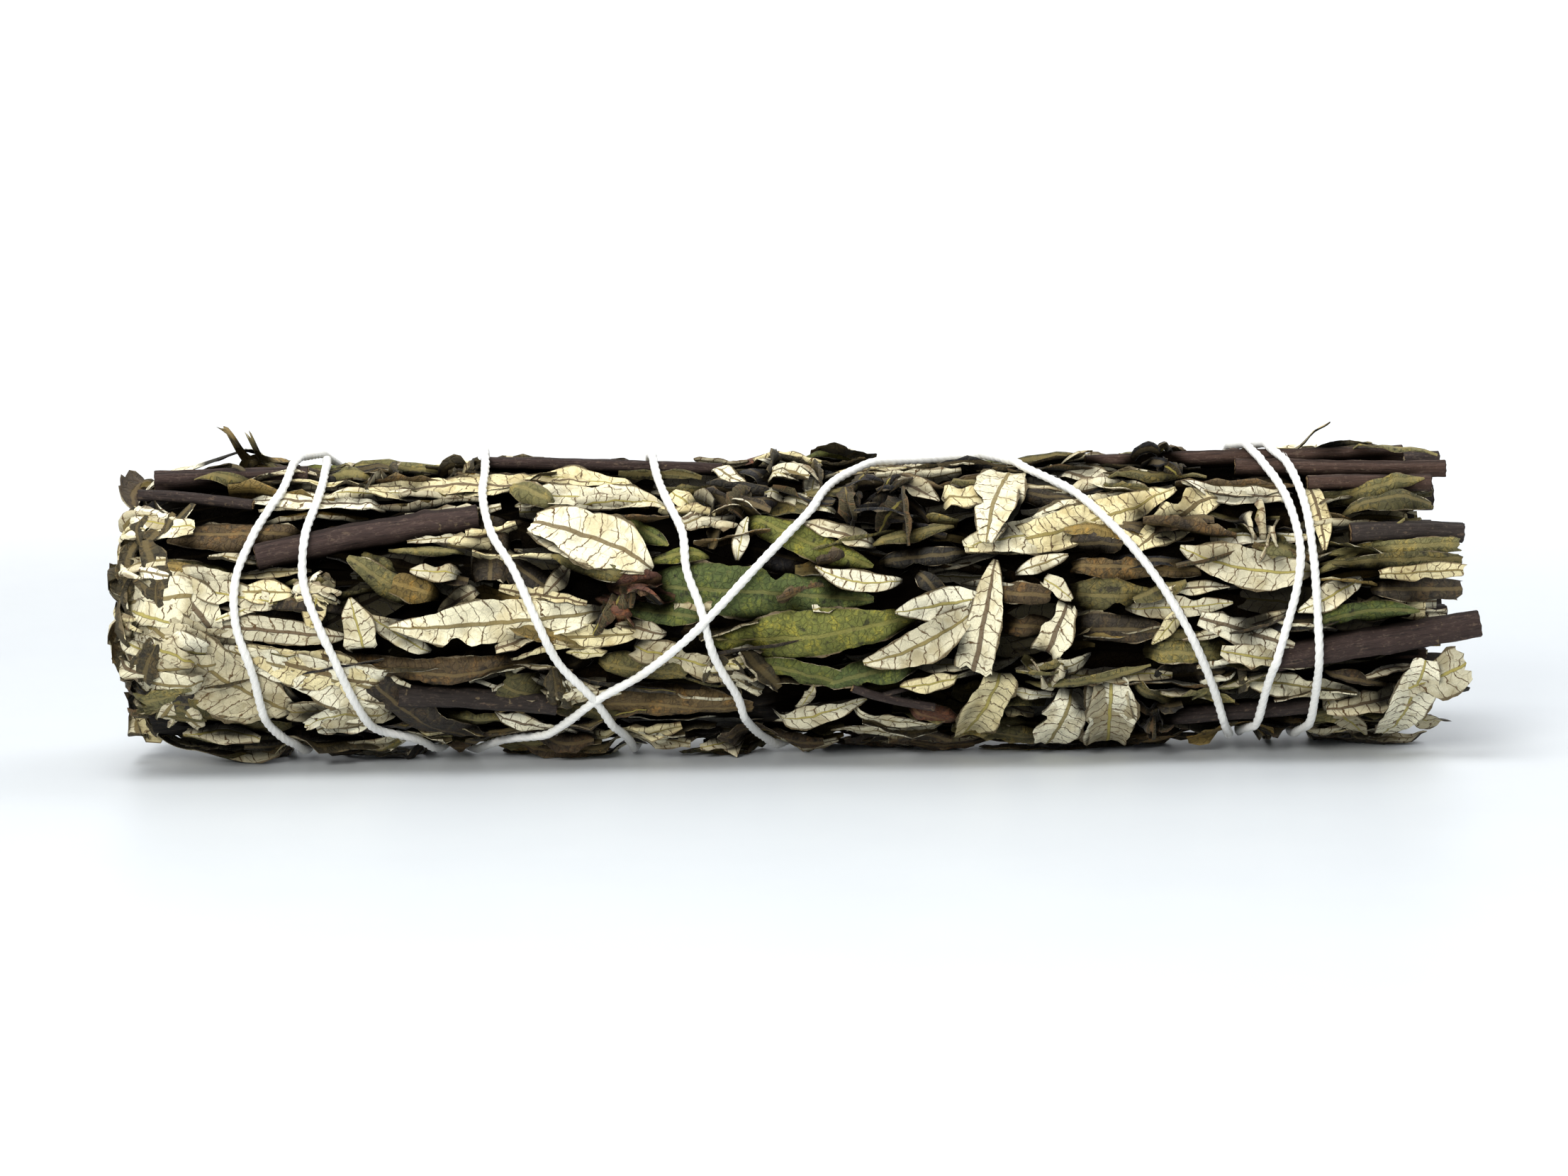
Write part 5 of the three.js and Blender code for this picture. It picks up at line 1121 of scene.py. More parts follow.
def crumples(patches, draw):
    """Small crumpled pieces, gathered where the photo shows them."""
    s = np.linspace(0, 1, 10)
    for x, height, spread, face, count in CRUMPLES:
        for _ in range(count):
            along = x + draw.between(-spread, spread)
            around = around_of(along, height + draw.between(-spread, spread) * 0.7)
            length = draw.between(3.5, 6 + spread)
            heading = draw.between(0, 2 * math.pi)
            run = along + length * (s - 0.5) * math.cos(heading)
            angle = around + length * (s - 0.5) * math.sin(heading) / SEEN_RADIUS
            arch = draw.between(0.2, 1.6) * np.sin(math.pi * s) + draw.between(-0.8, 0.8) * (s - 0.5)
            level = float(pile_top[cell(along, around)])
            radius = min(level, CRUMPLE_RADIUS) + arch - 0.5
            centre = point(np.minimum(run, CRUMPLES_MOST_X), angle, radius)
            outwards = outwards_at(around)
            sideways = np.array([math.sin(heading), 0, 0]) + math.cos(heading) * np.array(
                [0, math.sin(around), math.cos(around)])
            stand = draw.between(-0.9, 0.9)
            side = np.tile(sideways * math.cos(stand) + outwards * math.sin(stand), (10, 1))
            half = draw.between(0.8, 2) * np.sin(math.pi * (0.15 + 0.78 * s)) ** 0.6
            cup = draw.between(-0.7, 0.7)
            strip(patches[owner_of(along, around)], centre, side, half, face, draw, cup, 2)


def left_tips(patches, draw):
    """Crumpled leaf tips packed over the folded end."""
    s = np.linspace(0, 1, 11)
    for i in range(LEFT_TIPS):
        r = LEFT_SPREAD * math.sqrt((i + 0.5) / LEFT_TIPS)
        angle = i * GOLDEN_ANGLE + draw.between(-0.3, 0.3)
        length = draw.between(8, 15)
        heading = draw.between(0, 2 * math.pi)
        y = -r * math.cos(angle) + length * (s - 0.5) * math.cos(heading)
        z = r * math.sin(angle) + length * (s - 0.5) * math.sin(heading)
        shrink = np.minimum(1, LEFT_REACH / np.maximum(np.hypot(y, z), 1e-6))
        bulge = draw.between(0.5, 3) * np.sin(math.pi * s) + draw.between(-1.2, 1.2) * s
        x = np.maximum(LEFT_FACE_X - draw.between(0, 2.6) - bulge, LEFT_MOST_X)
        centre = np.stack([x, y * shrink, z * shrink], axis=-1)
        tip = draw.between(-0.9, 0.9)
        flat = math.cos(tip)
        side = np.array([math.sin(tip), -math.sin(heading) * flat, math.cos(heading) * flat])
        half = draw.between(2, 4.2) * np.sin(math.pi * (0.1 + 0.84 * s)) ** 0.8
        owner = patches[owner_of(CORE_LEFT, angle)]
        face = draw.pick(LEFT_FACES)
        cup = draw.between(-0.4, 0.4)
        strip(owner, centre, np.tile(side, (11, 1)), half, face, draw, cup, 1.5)


def right_edges(patches, draw, blocked):
    """Cut leaf edges between the stems of the other end."""
    for i in range(RIGHT_EDGES):
        r = RIGHT_SPREAD * math.sqrt((i + 0.5) / RIGHT_EDGES)
        angle = i * GOLDEN_ANGLE + draw.between(-0.2, 0.2)
        y, z = -r * math.cos(angle), r * math.sin(angle)
        reach = draw.between(99, 104.5)
        face = draw.pick(END_FACES)
        width = draw.between(2.2, 4.6)
        turn = angle + draw.between(-0.6, 0.6) + (math.pi / 2 if draw.next() < 0.75 else 0)
        lean = draw.between(-0.08, 0.1)
        if room_at(y, z, blocked) < END_GAP:
            continue
        s = np.linspace(0, 1, 9)
        out = RIGHT_EDGES_FROM + (reach - RIGHT_EDGES_FROM) * s
        grow = 1 + lean * s
        centre = np.stack([out, y * grow, z * grow], axis=-1)
        side = np.tile(outwards_at(turn), (9, 1))
        half = 0.5 * width * (0.75 + 0.25 * np.cos(s * 2))
        owner = owner_of(CORE_RIGHT, angle)
        strip(patches[owner], centre, side, half, face, draw, draw.between(-0.5, 0.5), 1)


def end_twigs(patches, draw, blocked):
    """Thin cut twigs between the stems of the cut end."""
    for i in range(END_TWIGS):
        r = TWIG_SPREAD * math.sqrt((i + 0.5) / END_TWIGS)
        angle = i * GOLDEN_ANGLE + 1 + draw.between(-0.2, 0.2)
        diameter = draw.between(1, 2.4)
        reach = draw.between(98, 104)
        y, z = -r * math.cos(angle), r * math.sin(angle)
        if room_at(y, z, blocked) < diameter / 2 + TWIG_GAP:
            continue
        middle = (TWIGS_FROM + reach) / 2
        line = np.array([[TWIGS_FROM, y * 0.97, z * 0.97], [middle, y, z], [reach, y, z]])
        bark_stem(patches[owner_of(CORE_RIGHT, angle)], line, diameter, draw, LEAF_BARK, LEAF_CUT_WOOD)
        blocked.append((y, z, diameter / 2))


def frames_along(points):
    """Two directions across a line at each of its points, turning as little as they can."""
    forward = directions(points)
    across = np.zeros_like(points)
    start = np.cross(forward[0], [0.3, 0.8, 0.52])
    across[0] = start / np.linalg.norm(start)
    for k in range(1, len(points)):
        kept = across[k - 1] - forward[k] * np.dot(across[k - 1], forward[k])
        across[k] = kept / np.linalg.norm(kept)
    return across, np.cross(forward, across)


def tube(patch, points, radius, angles, slot, own, tint):
    """A tube round a line. radius has a row for each point and a column for each angle."""
    first, second = frames_along(points)
    ring = np.cos(angles)[None, :, None] * first[:, None] + np.sin(angles)[None, :, None] * second[:, None]
    surface = points[:, None] + ring * radius[..., None]
    run = run_along(points)
    around = angles[None, :] * np.mean(radius) + 0 * radius
    lie = np.stack([around, run[:, None] + 0 * radius, radius], axis=-1)
    patch.grid(surface, slot, lie, own, tint, closed=True)
    return surface


def cut_end(patch, ring, centre, outwards, own, slot):
    """A slightly rough cut face over the last ring of a stem."""
    inwards = np.array([1, 0.93, 0.75, 0.55, 0.35, 0.15, 0.01])[:, None, None]
    points = centre + (ring[None] - centre) * inwards
    bulge = np.array([0, 0.12, 0.16, 0.14, 0.1, -0.1, -0.2])[:, None, None]
    wobble = 0.08 * np.sin(np.arange(ring.shape[0]) * 1.9)[None, :, None] * inwards
    points = points + outwards * (bulge + wobble)
    radius = np.linalg.norm(ring - centre, axis=-1)[None] * inwards[..., 0]
    share = inwards[..., 0] + 0 * radius
    lie = np.stack([radius, np.arange(ring.shape[0])[None] * 0.3 + 0 * radius, share], axis=-1)
    patch.grid(points, slot, lie, own, CUT_TINT, closed=True)


def bark_stem(patch, line, diameter, draw, bark_slot=BARK, wood_slot=CUT_WOOD):
    """A bare stem: ridged bark, a few leaf scars and cut ends."""
    length = np.sum(np.linalg.norm(np.diff(line, axis=0), axis=1))
    count = max(12, int(length / 0.8))
    points = even_points(line, count, STEM_DIVISIONS)[0]
    angles = np.arange(STEM_SIDES) * 2 * math.pi / STEM_SIDES
    seed = draw.next()
    run = np.linspace(0, length, count + 1)[:, None]
    ridges = 0.05 * np.sin(angles * 5 + seed * 9 + run * 0.05) + 0.035 * np.sin(angles * 9 - run * 0.11)
    flakes = 0.05 * np.sin(run * 0.9 + angles * 2 + seed * 40) * np.sin(run * 0.37 + angles * 3)
    swell = 0.04 * np.sin(run * 0.13 + seed * 20)
    radius = diameter / 2 * (0.93 + ridges + flakes + swell)
    for _ in range(int(length / 22)):
        at = draw.between(0.1, 0.9) * length
        facing = draw.between(0, 2 * math.pi)
        bump = np.exp(-((run - at) / 0.9) ** 2) * np.maximum(0, np.cos(angles - facing)) ** 3
        radius = radius + 0.45 * bump
    own = np.array([seed, draw.next(), 0.5])
    tint = np.array(draw.pick(BARK_TINTS)) * draw.between(0.85, 1.15)
    surface = tube(patch, points, radius, angles, bark_slot, own, tint)
    start_out = points[0] - points[1]
    end_out = points[-1] - points[-2]
    cut_end(patch, surface[0][::-1], points[0], start_out / np.linalg.norm(start_out), own, wood_slot)
    cut_end(patch, surface[-1], points[-1], end_out / np.linalg.norm(end_out), own, wood_slot)


def rope(patch, line, draw):
    """Cotton string: three plies twisted round each other."""
    length = even_points(line, 1, ROPE_DIVISIONS)[1]
    count = int(length / ROPE_STEP)
    points = even_points(line, count, ROPE_DIVISIONS)[0]
    angles = np.arange(ROPE_SIDES) * 2 * math.pi / ROPE_SIDES
    run = np.linspace(0, length, count + 1)[:, None]
    twist = angles[None, :] - run * 2 * math.pi / ROPE_PITCH
    lobes = np.abs(np.cos(1.5 * twist))
    swell = 1 + 0.05 * np.sin(run * 0.9) * np.sin(run * 0.23 + 1)
    radius = STRING_DIAMETER / 2 * (0.66 + 0.24 * lobes) * swell
    own = np.array([draw.next(), draw.next(), ROPE_PITCH])
    surface = tube(patch, points, radius, angles, 0, own, COTTON_TINT)
    for ring, centre in ((surface[0][::-1], points[0]), (surface[-1], points[-1])):
        fan = np.array([1, 0.5, 0.02])[:, None, None]
        cap = centre + (ring[None] - centre) * fan
        patch.grid(cap, 0, cap, own, COTTON_TINT, closed=True)


# Coarse leaves pressed under the listed ones, only seen in the gaps between them
UNDER_LAYER_COLUMNS = 17
UNDER_LAYER_ROWS = 13
UNDER_LAYER_BELOW = 1.7
UNDER_LAYER_LEFT = -101
UNDER_LAYER_LENGTH = 196
# Weighted to black and dark faces: these leaves show only in gaps, so their darkness is partly their own
# colour and partly painted shade
UNDER_LAYER_FACES = ["black", "brown", "dark", "olive", "black", "pale", "dark", "black", "brown"]


def fill_leaves(draw):
    """Leaves of the layer between the pressed core and the listed leaves."""
    made = []
    for column in range(UNDER_LAYER_COLUMNS):
        for row in range(UNDER_LAYER_ROWS):
            share = (column + 0.5 * (row % 2) + draw.between(-0.3, 0.3)) / UNDER_LAYER_COLUMNS
            middle = UNDER_LAYER_LEFT + UNDER_LAYER_LENGTH * share
            around = 2 * math.pi * (row + draw.between(-0.3, 0.3)) / UNDER_LAYER_ROWS
            length = draw.between(17, 27)
            turn = draw.between(-0.5, 0.5)
            half = (1 if draw.next() < 0.5 else -1) * length / 2
            dx, da = half * math.cos(turn), half * math.sin(turn) / SEEN_RADIUS
            start = (min(RULE_FURTHEST, middle + dx), around + da)
            end = (min(RULE_FURTHEST, middle - dx), around - da)
            width = draw.between(6.5, 9.5)
            face = draw.pick(UNDER_LAYER_FACES)
            leaf = Leaf(draw, face, start, end, width, draw.between(-1, 1), 0.05, 0.15)
            leaf.heights += bed_at(middle, around) - UNDER_LAYER_BELOW + draw.between(-0.4, 0.5)
            made.append(leaf)
    return made


def bed_at(along, around):
    down = max(0.1, -math.sin(around))
    lowest = min(BED_RADIUS, UNDERSIDE_CORE / down) if down > UNDERSIDE_FROM else 0
    return float(min(max(bed(along, around), lowest), (FLOOR_BELOW_AXIS - 1.2) / down))


def fork_line(stem):
    """The side branch of the thin forked twig."""
    start, end = stem.line()[1], stem.line()[-1]
    tip = end + np.array([-2.5, 0, 3.4])
    return np.array([start, (start + tip) / 2 + np.array([0, -0.3, 0.2]), tip])


class Nodes:
    """Builds one procedural material out of small steps."""

    def __init__(self, name):
        self.material = bpy.data.materials.new(name)
        self.material.use_nodes = True
        self.tree = self.material.node_tree
        self.shader = self.tree.nodes["Principled BSDF"]

    def put(self, socket, value):
        if isinstance(value, bpy.types.NodeSocket):
            self.tree.links.new(value, socket)
        else:
            socket.default_value = value

    def math(self, operation, a, b=0.0, clamp=False):
        node = self.tree.nodes.new("ShaderNodeMath")
        node.operation = operation
        node.use_clamp = clamp
        self.put(node.inputs[0], a)
        self.put(node.inputs[1], b)
        return node.outputs[0]

    def times(self, a, b, clamp=False):
        return self.math("MULTIPLY", a, b, clamp)

    def plus(self, a, b):
        return self.math("ADD", a, b)

    def minus(self, a, b, clamp=False):
        return self.math("SUBTRACT", a, b, clamp)

    def vector_math(self, operation, a, b):
        node = self.tree.nodes.new("ShaderNodeVectorMath")
        node.operation = operation
        self.put(node.inputs[0], a)
        self.put(node.inputs[1], b)
        return node.outputs[0]

    def step(self, value, low, high):
        """0 below low and 1 above high, or the other way round where low is the larger."""
        node = self.tree.nodes.new("ShaderNodeMapRange")
        node.interpolation_type = "SMOOTHSTEP"
        turned = low > high
        self.put(node.inputs["Value"], value)
        node.inputs["From Min"].default_value = min(low, high)
        node.inputs["From Max"].default_value = max(low, high)
        node.inputs["To Min"].default_value = 1 if turned else 0
        node.inputs["To Max"].default_value = 0 if turned else 1
        return node.outputs["Result"]

    def mix(self, share, a, b):
        node = self.tree.nodes.new("ShaderNodeMix")
        node.data_type = "RGBA"
        self.put(node.inputs[0], share)
        self.put(node.inputs[6], a)
        self.put(node.inputs[7], b)
        return node.outputs[2]

    def scale_colour(self, colour, amount):
        node = self.tree.nodes.new("ShaderNodeVectorMath")
        node.operation = "SCALE"
        self.put(node.inputs[0], colour)
        self.put(node.inputs["Scale"], amount)
        return node.outputs[0]

    def attribute(self, name, output="Vector"):
        node = self.tree.nodes.new("ShaderNodeAttribute")
        node.attribute_name = name
        return node.outputs[output]

    def split(self, vector):
        node = self.tree.nodes.new("ShaderNodeSeparateXYZ")
        self.put(node.inputs[0], vector)
        return node.outputs[0], node.outputs[1], node.outputs[2]

    def join(self, x, y, z):
        node = self.tree.nodes.new("ShaderNodeCombineXYZ")
        self.put(node.inputs[0], x)
        self.put(node.inputs[1], y)
        self.put(node.inputs[2], z)
        return node.outputs[0]

    def painted_gap_shade(self):
        return self.attribute("painted_gap_shade", "Fac")

    def paint_gap_shade(self, colour):
        """Paints shade into a colour in the gaps between pieces."""
        return self.mix(self.times(self.painted_gap_shade(), 0.97), colour, PAINTED_GAP_SHADE_BLACK)

    # Painted shade on reflections: less specular in the gaps between pieces
    def gap_shaded_specular(self, amount):
        return self.times(self.minus(1.0, self.painted_gap_shade()), amount)

    def noise(self, vector, scale, detail=3.0, rough=0.55):
        node = self.tree.nodes.new("ShaderNodeTexNoise")
        self.put(node.inputs["Vector"], vector)
        node.inputs["Scale"].default_value = scale
        node.inputs["Detail"].default_value = detail
        node.inputs["Roughness"].default_value = rough
        return node.outputs["Fac"]

    def cell_edges(self, vector, scale):
        node = self.tree.nodes.new("ShaderNodeTexVoronoi")
        node.feature = "DISTANCE_TO_EDGE"
        self.put(node.inputs["Vector"], vector)
        node.inputs["Scale"].default_value = scale
        return node.outputs["Distance"]

    def bump(self, height, distance, strength=1.0):
        node = self.tree.nodes.new("ShaderNodeBump")
        node.inputs["Distance"].default_value = distance
        node.inputs["Strength"].default_value = strength
        self.put(node.inputs["Height"], height)
        self.put(self.shader.inputs["Normal"], node.outputs[0])

    def finish(self, colour, roughness, specular, sheen=0.0, with_painted_shade=True):
        # Colour and specular level get painted shade in the gaps, unless it is switched off
        self.put(self.shader.inputs["Base Color"], self.paint_gap_shade(colour) if with_painted_shade else colour)
        self.put(self.shader.inputs["Roughness"], roughness)
        self.put(self.shader.inputs["Specular IOR Level"], self.gap_shaded_specular(specular) if with_painted_shade else specular)
        self.shader.inputs["Sheen Weight"].default_value = sheen
        return self.material


def leaf_pattern(n):
    """What both faces of a leaf share: its own coordinates and where its veins run."""
    across, along, half = n.split(n.attribute("lie"))
    seed, chance, spacing = n.split(n.attribute("own"))
    place = n.join(across, along, n.times(seed, 60.0))
    wander = n.minus(n.noise(place, 0.35, 2.0), 0.5)
    waver = n.minus(n.noise(place, 1.1, 2.0), 0.5)
    side = n.math("ABSOLUTE", n.plus(across, n.times(wander, 0.6)))
    left = n.times(n.math("GREATER_THAN", across, 0.0), 0.45)
    leaning = n.minus(along, n.times(side, 0.42))
    leaning = n.plus(leaning, n.times(wander, 2.0))
    leaning = n.plus(leaning, n.times(waver, 1.0))
    phase = n.plus(n.math("DIVIDE", leaning, spacing), left)
    to_line = n.math("ABSOLUTE", n.minus(n.math("FRACT", phase), 0.5))
    to_line = n.times(to_line, spacing)
    warped = n.vector_math("ADD", place, n.scale_colour(n.join(wander, wander, 0.0), 1.2))
    return {
        "across": across, "along": along, "half": half, "seed": seed, "chance": chance,
        "place": place, "side": side, "to_line": to_line, "warped": warped,
        "edge": n.math("DIVIDE", n.math("ABSOLUTE", across), n.plus(half, 0.05)),
        "taper": n.plus(0.45, n.step(half, 0.5, 3.5)),
    }


def underside_material():
    """The pale felted underside, with its raised net of veins."""
    n = Nodes("leaf_underside")
    p = leaf_pattern(n)
    midrib_edge = n.times(n.plus(0.18, n.times(p["chance"], 0.18)), p["taper"])
    midrib = n.minus(1.0, n.math("DIVIDE", p["side"], midrib_edge), clamp=True)
    midrib = n.step(midrib, 0.0, 0.35)
    lateral = n.step(p["to_line"], 0.13, 0.04)
    net = n.step(n.cell_edges(p["warped"], 0.5), 0.045, 0.01)
    fine_net = n.step(n.cell_edges(p["place"], 1.9), 0.08, 0.02)
    fuzz = n.noise(p["place"], 5.0, 4.0, 0.7)
    patches = n.noise(p["place"], 0.22, 3.0)
    tint = n.attribute("tint")
    colour = n.scale_colour(tint, n.plus(0.62, n.times(fuzz, 0.75)))
    aged = n.times(n.step(patches, 0.48, 0.66), 0.7)
    colour = n.mix(aged, colour, n.vector_math("MULTIPLY", tint, (0.6, 0.54, 0.42)))
    spots = n.step(n.noise(p["place"], 1.3, 2.0), 0.68, 0.74)
    colour = n.mix(n.times(spots, 0.7), colour, SPOT_BROWN)
    colour = n.mix(n.times(fine_net, 0.18), colour, FINE_NET_TAN)
    strength = n.noise(p["place"], 0.7, 2.0)
    net_shown = n.times(net, n.step(strength, 0.45, 0.62))
    colour = n.mix(n.times(net_shown, 0.6), colour, NET_BROWN)
    line_shown = n.times(lateral, n.plus(0.6, n.times(strength, 0.7)), clamp=True)
    colour = n.mix(line_shown, colour, VEIN_BROWN)
    ochre = n.mix(n.step(p["chance"], 0.3, 0.5), MIDRIB_YELLOW, MIDRIB_OCHRE)
    ochre = n.mix(n.step(p["chance"], 0.72, 0.88), ochre, MIDRIB_BROWN)
    colour = n.mix(n.times(midrib, 0.9), colour, ochre)
    to_rim = n.times(n.minus(1.0, p["edge"]), p["half"])
    rim = n.times(n.step(to_rim, 0.3, 0.08), n.step(patches, 0.3, 0.5))
    colour = n.mix(n.times(rim, 0.75), colour, RIM_BROWN)
    veins = n.math("MAXIMUM", n.times(lateral, 0.6), n.times(net, 0.35))
    height = n.math("MAXIMUM", veins, midrib)
    height = n.plus(height, n.times(fuzz, 0.45))
    n.bump(height, 0.00025, 0.9)
    return n.finish(colour, 0.9, 0.15, 0.08)


def upperside_material():
    """The dark upper face: leathery, a little resinous, with sunken veins."""
    n = Nodes("leaf_upperside")
    p = leaf_pattern(n)
    midrib = n.step(p["side"], 0.42, 0.2)
    lateral = n.step(p["to_line"], 0.22, 0.05)
    net = n.step(n.cell_edges(p["warped"], 0.9), 0.09, 0.02)
    grain = n.noise(p["place"], 4.0, 4.0, 0.7)
    patches = n.noise(p["place"], 0.3, 4.0, 0.65)
    tint = n.attribute("tint")
    mottle = n.noise(p["place"], 1.6, 5.0, 0.75)
    colour = n.scale_colour(tint, n.plus(0.1, n.times(n.plus(grain, mottle), 0.95)))
    gold = n.times(n.step(patches, 0.5, 0.62), n.step(mottle, 0.4, 0.58))
    colour = n.mix(gold, colour, n.vector_math("MULTIPLY", tint, (2.3, 1.9, 1.3)))
    worn = n.step(n.noise(p["place"], 1.1, 3.0), 0.6, 0.7)
    colour = n.mix(n.times(worn, 0.5), colour, n.vector_math("ADD", tint, (0.1, 0.07, 0.03)))
    dark = n.step(n.noise(p["place"], 0.6, 3.0), 0.42, 0.3)
    colour = n.mix(n.times(dark, 0.75), colour, BLOTCH_BLACK)
    colour = n.mix(n.times(net, 0.3), colour, n.scale_colour(tint, 0.4))
    colour = n.mix(n.times(lateral, 0.25), colour, n.vector_math("ADD", tint, (0.09, 0.07, 0.025)))
    colour = n.mix(n.times(midrib, 0.55), colour, n.vector_math("ADD", tint, (0.14, 0.1, 0.035)))
    rim = n.times(n.step(p["edge"], 0.9, 0.99), 0.6)
    colour = n.mix(rim, colour, n.vector_math("ADD", tint, (0.16, 0.12, 0.06)))
    sunk = n.math("MAXIMUM", n.times(lateral, 0.5), n.math("MAXIMUM", net, midrib))
    height = n.minus(n.times(n.plus(grain, mottle), 0.8), n.times(sunk, 0.6))
    n.bump(height, 0.0003, 1.0)
    gloss = n.plus(0.42, n.times(grain, 0.45))
    return n.finish(colour, gloss, 0.35)


def pressed_material():
    """The layered inside that shows between the leaves, near black: partly the pressed leaves' own dark
    colour, partly painted shade in the gaps.
    """
    n = Nodes("pressed_leaves")
    across, along, _ = n.split(n.attribute("lie"))
    place = n.join(n.times(across, 1.6), n.times(along, 0.22), 0.0)
    layered = n.noise(place, 0.8, 5.0, 0.65)
    flecks = n.noise(n.join(across, n.times(along, 0.5), 4.0), 1.3, 3.0)
    tint = n.attribute("tint")
    # Black where the layers sink lowest: painted shade between them
    colour = n.mix(n.step(layered, 0.4, 0.75), PRESSED_SHADE_BLACK, n.scale_colour(tint, 0.6))
    colour = n.mix(n.times(n.step(flecks, 0.62, 0.74), 0.4), colour, FLECK_TAN)
    n.bump(layered, 0.0007, 1.0)
    return n.finish(colour, 0.8, 0.2)


def bark_material():
    """Dark, purple-brown bark that has shrunk into long ridges."""
    n = Nodes("bark")
    around, along, _ = n.split(n.attribute("lie"))
    seed = n.split(n.attribute("own"))[0]
    apart = n.times(seed, 50.0)
    long_place = n.join(n.times(around, 2.2), n.times(along, 0.14), apart)
    fibres = n.noise(long_place, 1.5, 5.0, 0.7)
    flakes = n.noise(n.join(around, n.times(along, 0.4), apart), 0.9, 4.0, 0.65)
    tint = n.attribute("tint")
    colour = n.scale_colour(tint, n.plus(0.1, n.times(fibres, 1.9)))
    grain = n.noise(n.join(around, n.times(along, 0.45), apart), 1.6, 5.0, 0.8)
    scuffed = n.times(n.step(grain, 0.54, 0.64), 0.7)
    colour = n.mix(scuffed, colour, n.vector_math("ADD", tint, (0.085, 0.062, 0.045)))
    colour = n.mix(n.times(n.step(flakes, 0.6, 0.68), 0.7), colour, FLAKE_TAN)
    colour = n.mix(n.times(n.step(fibres, 0.42, 0.3), 0.85), colour, CRACK_BLACK)
    lichen = n.step(n.noise(n.join(around, along, apart), 0.6, 4.0), 0.66, 0.72)
    colour = n.mix(n.times(lichen, 0.55), colour, LICHEN_TAN)
    height = n.plus(n.plus(fibres, n.times(flakes, 0.5)), n.times(grain, 0.3))
    n.bump(height, 0.0007, 1.0)
    return n.finish(colour, 0.75, 0.3)


def cut_wood_material():
    """A cut stem end: dark bark ring, pale wood with fine rings, soft brown pith."""
    n = Nodes("cut_wood")
    radius, around, share = n.split(n.attribute("lie"))
    seed = n.split(n.attribute("own"))[0]
    grain = n.noise(n.join(radius, n.times(around, 2.0), seed), 3.0, 4.0, 0.6)
    rings = n.math("SINE", n.times(n.plus(radius, n.times(grain, 0.2)), 14.0))
    wood = n.mix(n.step(rings, -0.4, 0.9), WOOD_PALE, WOOD_RING)
    wood = n.mix(n.step(grain, 0.55, 0.75), wood, WOOD_STAIN)
    colour = n.mix(n.step(share, 0.3, 0.22), wood, PITH_BROWN)
    colour = n.mix(n.step(share, 0.86, 0.94), colour, BARK_RING)
    n.bump(n.plus(grain, n.times(rings, 0.3)), 0.0002, 0.8)
    return n.finish(colour, 0.8, 0.2)


def cotton_material():
    """White twisted cotton with fine fibres along its plies."""
    n = Nodes("cotton")
    around, along, _ = n.split(n.attribute("lie"))
    turned = n.minus(n.times(around, 1.25), n.times(along, 1.1))
    fibres = n.noise(n.join(n.times(turned, 3.0), n.times(along, 0.5), 0.0), 2.2, 4.0)
    stain = n.noise(n.join(around, along, 7.0), 0.12, 3.0)
    colour = n.mix(n.step(fibres, 0.3, 0.7), COTTON_SHADE, COTTON_WHITE)
    colour = n.mix(n.times(n.step(stain, 0.58, 0.75), 0.3), colour, COTTON_STAIN)
    n.bump(fibres, 0.00018, 0.8)
    return n.finish(colour, 0.95, 0.1, 0.3, with_painted_shade=False)


def floor_material():
    """Painted shade: pale grey by the bundle, fading to white further off."""
    n = Nodes("pale_floor")
    coordinates = n.tree.nodes.new("ShaderNodeTexCoord").outputs["Object"]
    x, y, _ = n.split(coordinates)
    away = n.plus(n.math("POWER", n.times(x, 1.7), 2.0), n.math("POWER", n.times(y, 2.0), 2.0))
    speckle = n.noise(coordinates, 40.0, 3.0)
    # The two painted shade greys near the bundle, speckled
    near = n.mix(speckle, FLOOR_SHADE_GREY, FLOOR_SHADE_PALE_GREY)
    colour = n.mix(n.step(away, 0.05, 1.1), near, FLOOR_WHITE)
    return n.finish(colour, 0.45, 0.3, with_painted_shade=False)


def lay_all(leaves, stems):
    """Lays the leaves as the solids do."""
    mark_string()
    for pressing in range(PRESSINGS + 1):
        clear_pile()
        for stem in stems:
            stem.cover()
        for leaf in leaves:
            if not leaf.under:
                leaf.lay()
        if pressing < PRESSINGS:
            press_bed()
    for leaf in leaves:
        if leaf.under:
            leaf.lay()


def tight_line(stems):
    """The string pulled tight: on the stems it lies, and into the leaves it sinks."""
    route = string_route()
    length = even_points(route, 1, ROUTE_DIVISIONS)[1]
    count = math.ceil(length / TIGHT_STEP)
    flat = even_points(route, count, PRESS_DIVISIONS)[0]
    along, around = flat[:, 0], flat[:, 1] / SEEN_RADIUS
    soft = np.minimum(pile[cell(along, around)], SUNK_RADIUS + lumps(along, around))
    pile[:] = 0
    for stem in stems:
        stem.cover()
    firm = np.maximum(pile[cell(along, around - 0.03)], pile[cell(along, around + 0.03)])
    height = np.maximum(soft, firm) + STRING_DIAMETER / 2
    turning = np.gradient(around) * SEEN_RADIUS
    sag = turning ** 2 / (2 * SEEN_RADIUS)
    for later, earlier in crossings(flat):
        spread = np.arange(max(0, later - CROSSING_REACH), min(count, later + CROSSING_REACH) + 1)
        over = height[earlier] + STRING_DIAMETER * 0.9
        height[spread] = np.maximum(height[spread], over - 0.09 * np.abs(spread - later) ** 1.3)
    for _ in range(TIGHTENINGS):
        height[1:-1] = np.maximum(height[1:-1], 0.5 * (height[:-2] + height[2:]) - sag[1:-1])
    line = point(along, around, height)
    lowest = STRING_DIAMETER / 2 + 0.2 - FLOOR_BELOW_AXIS
    line[:, 2] = np.maximum(line[:, 2], lowest)
    return line


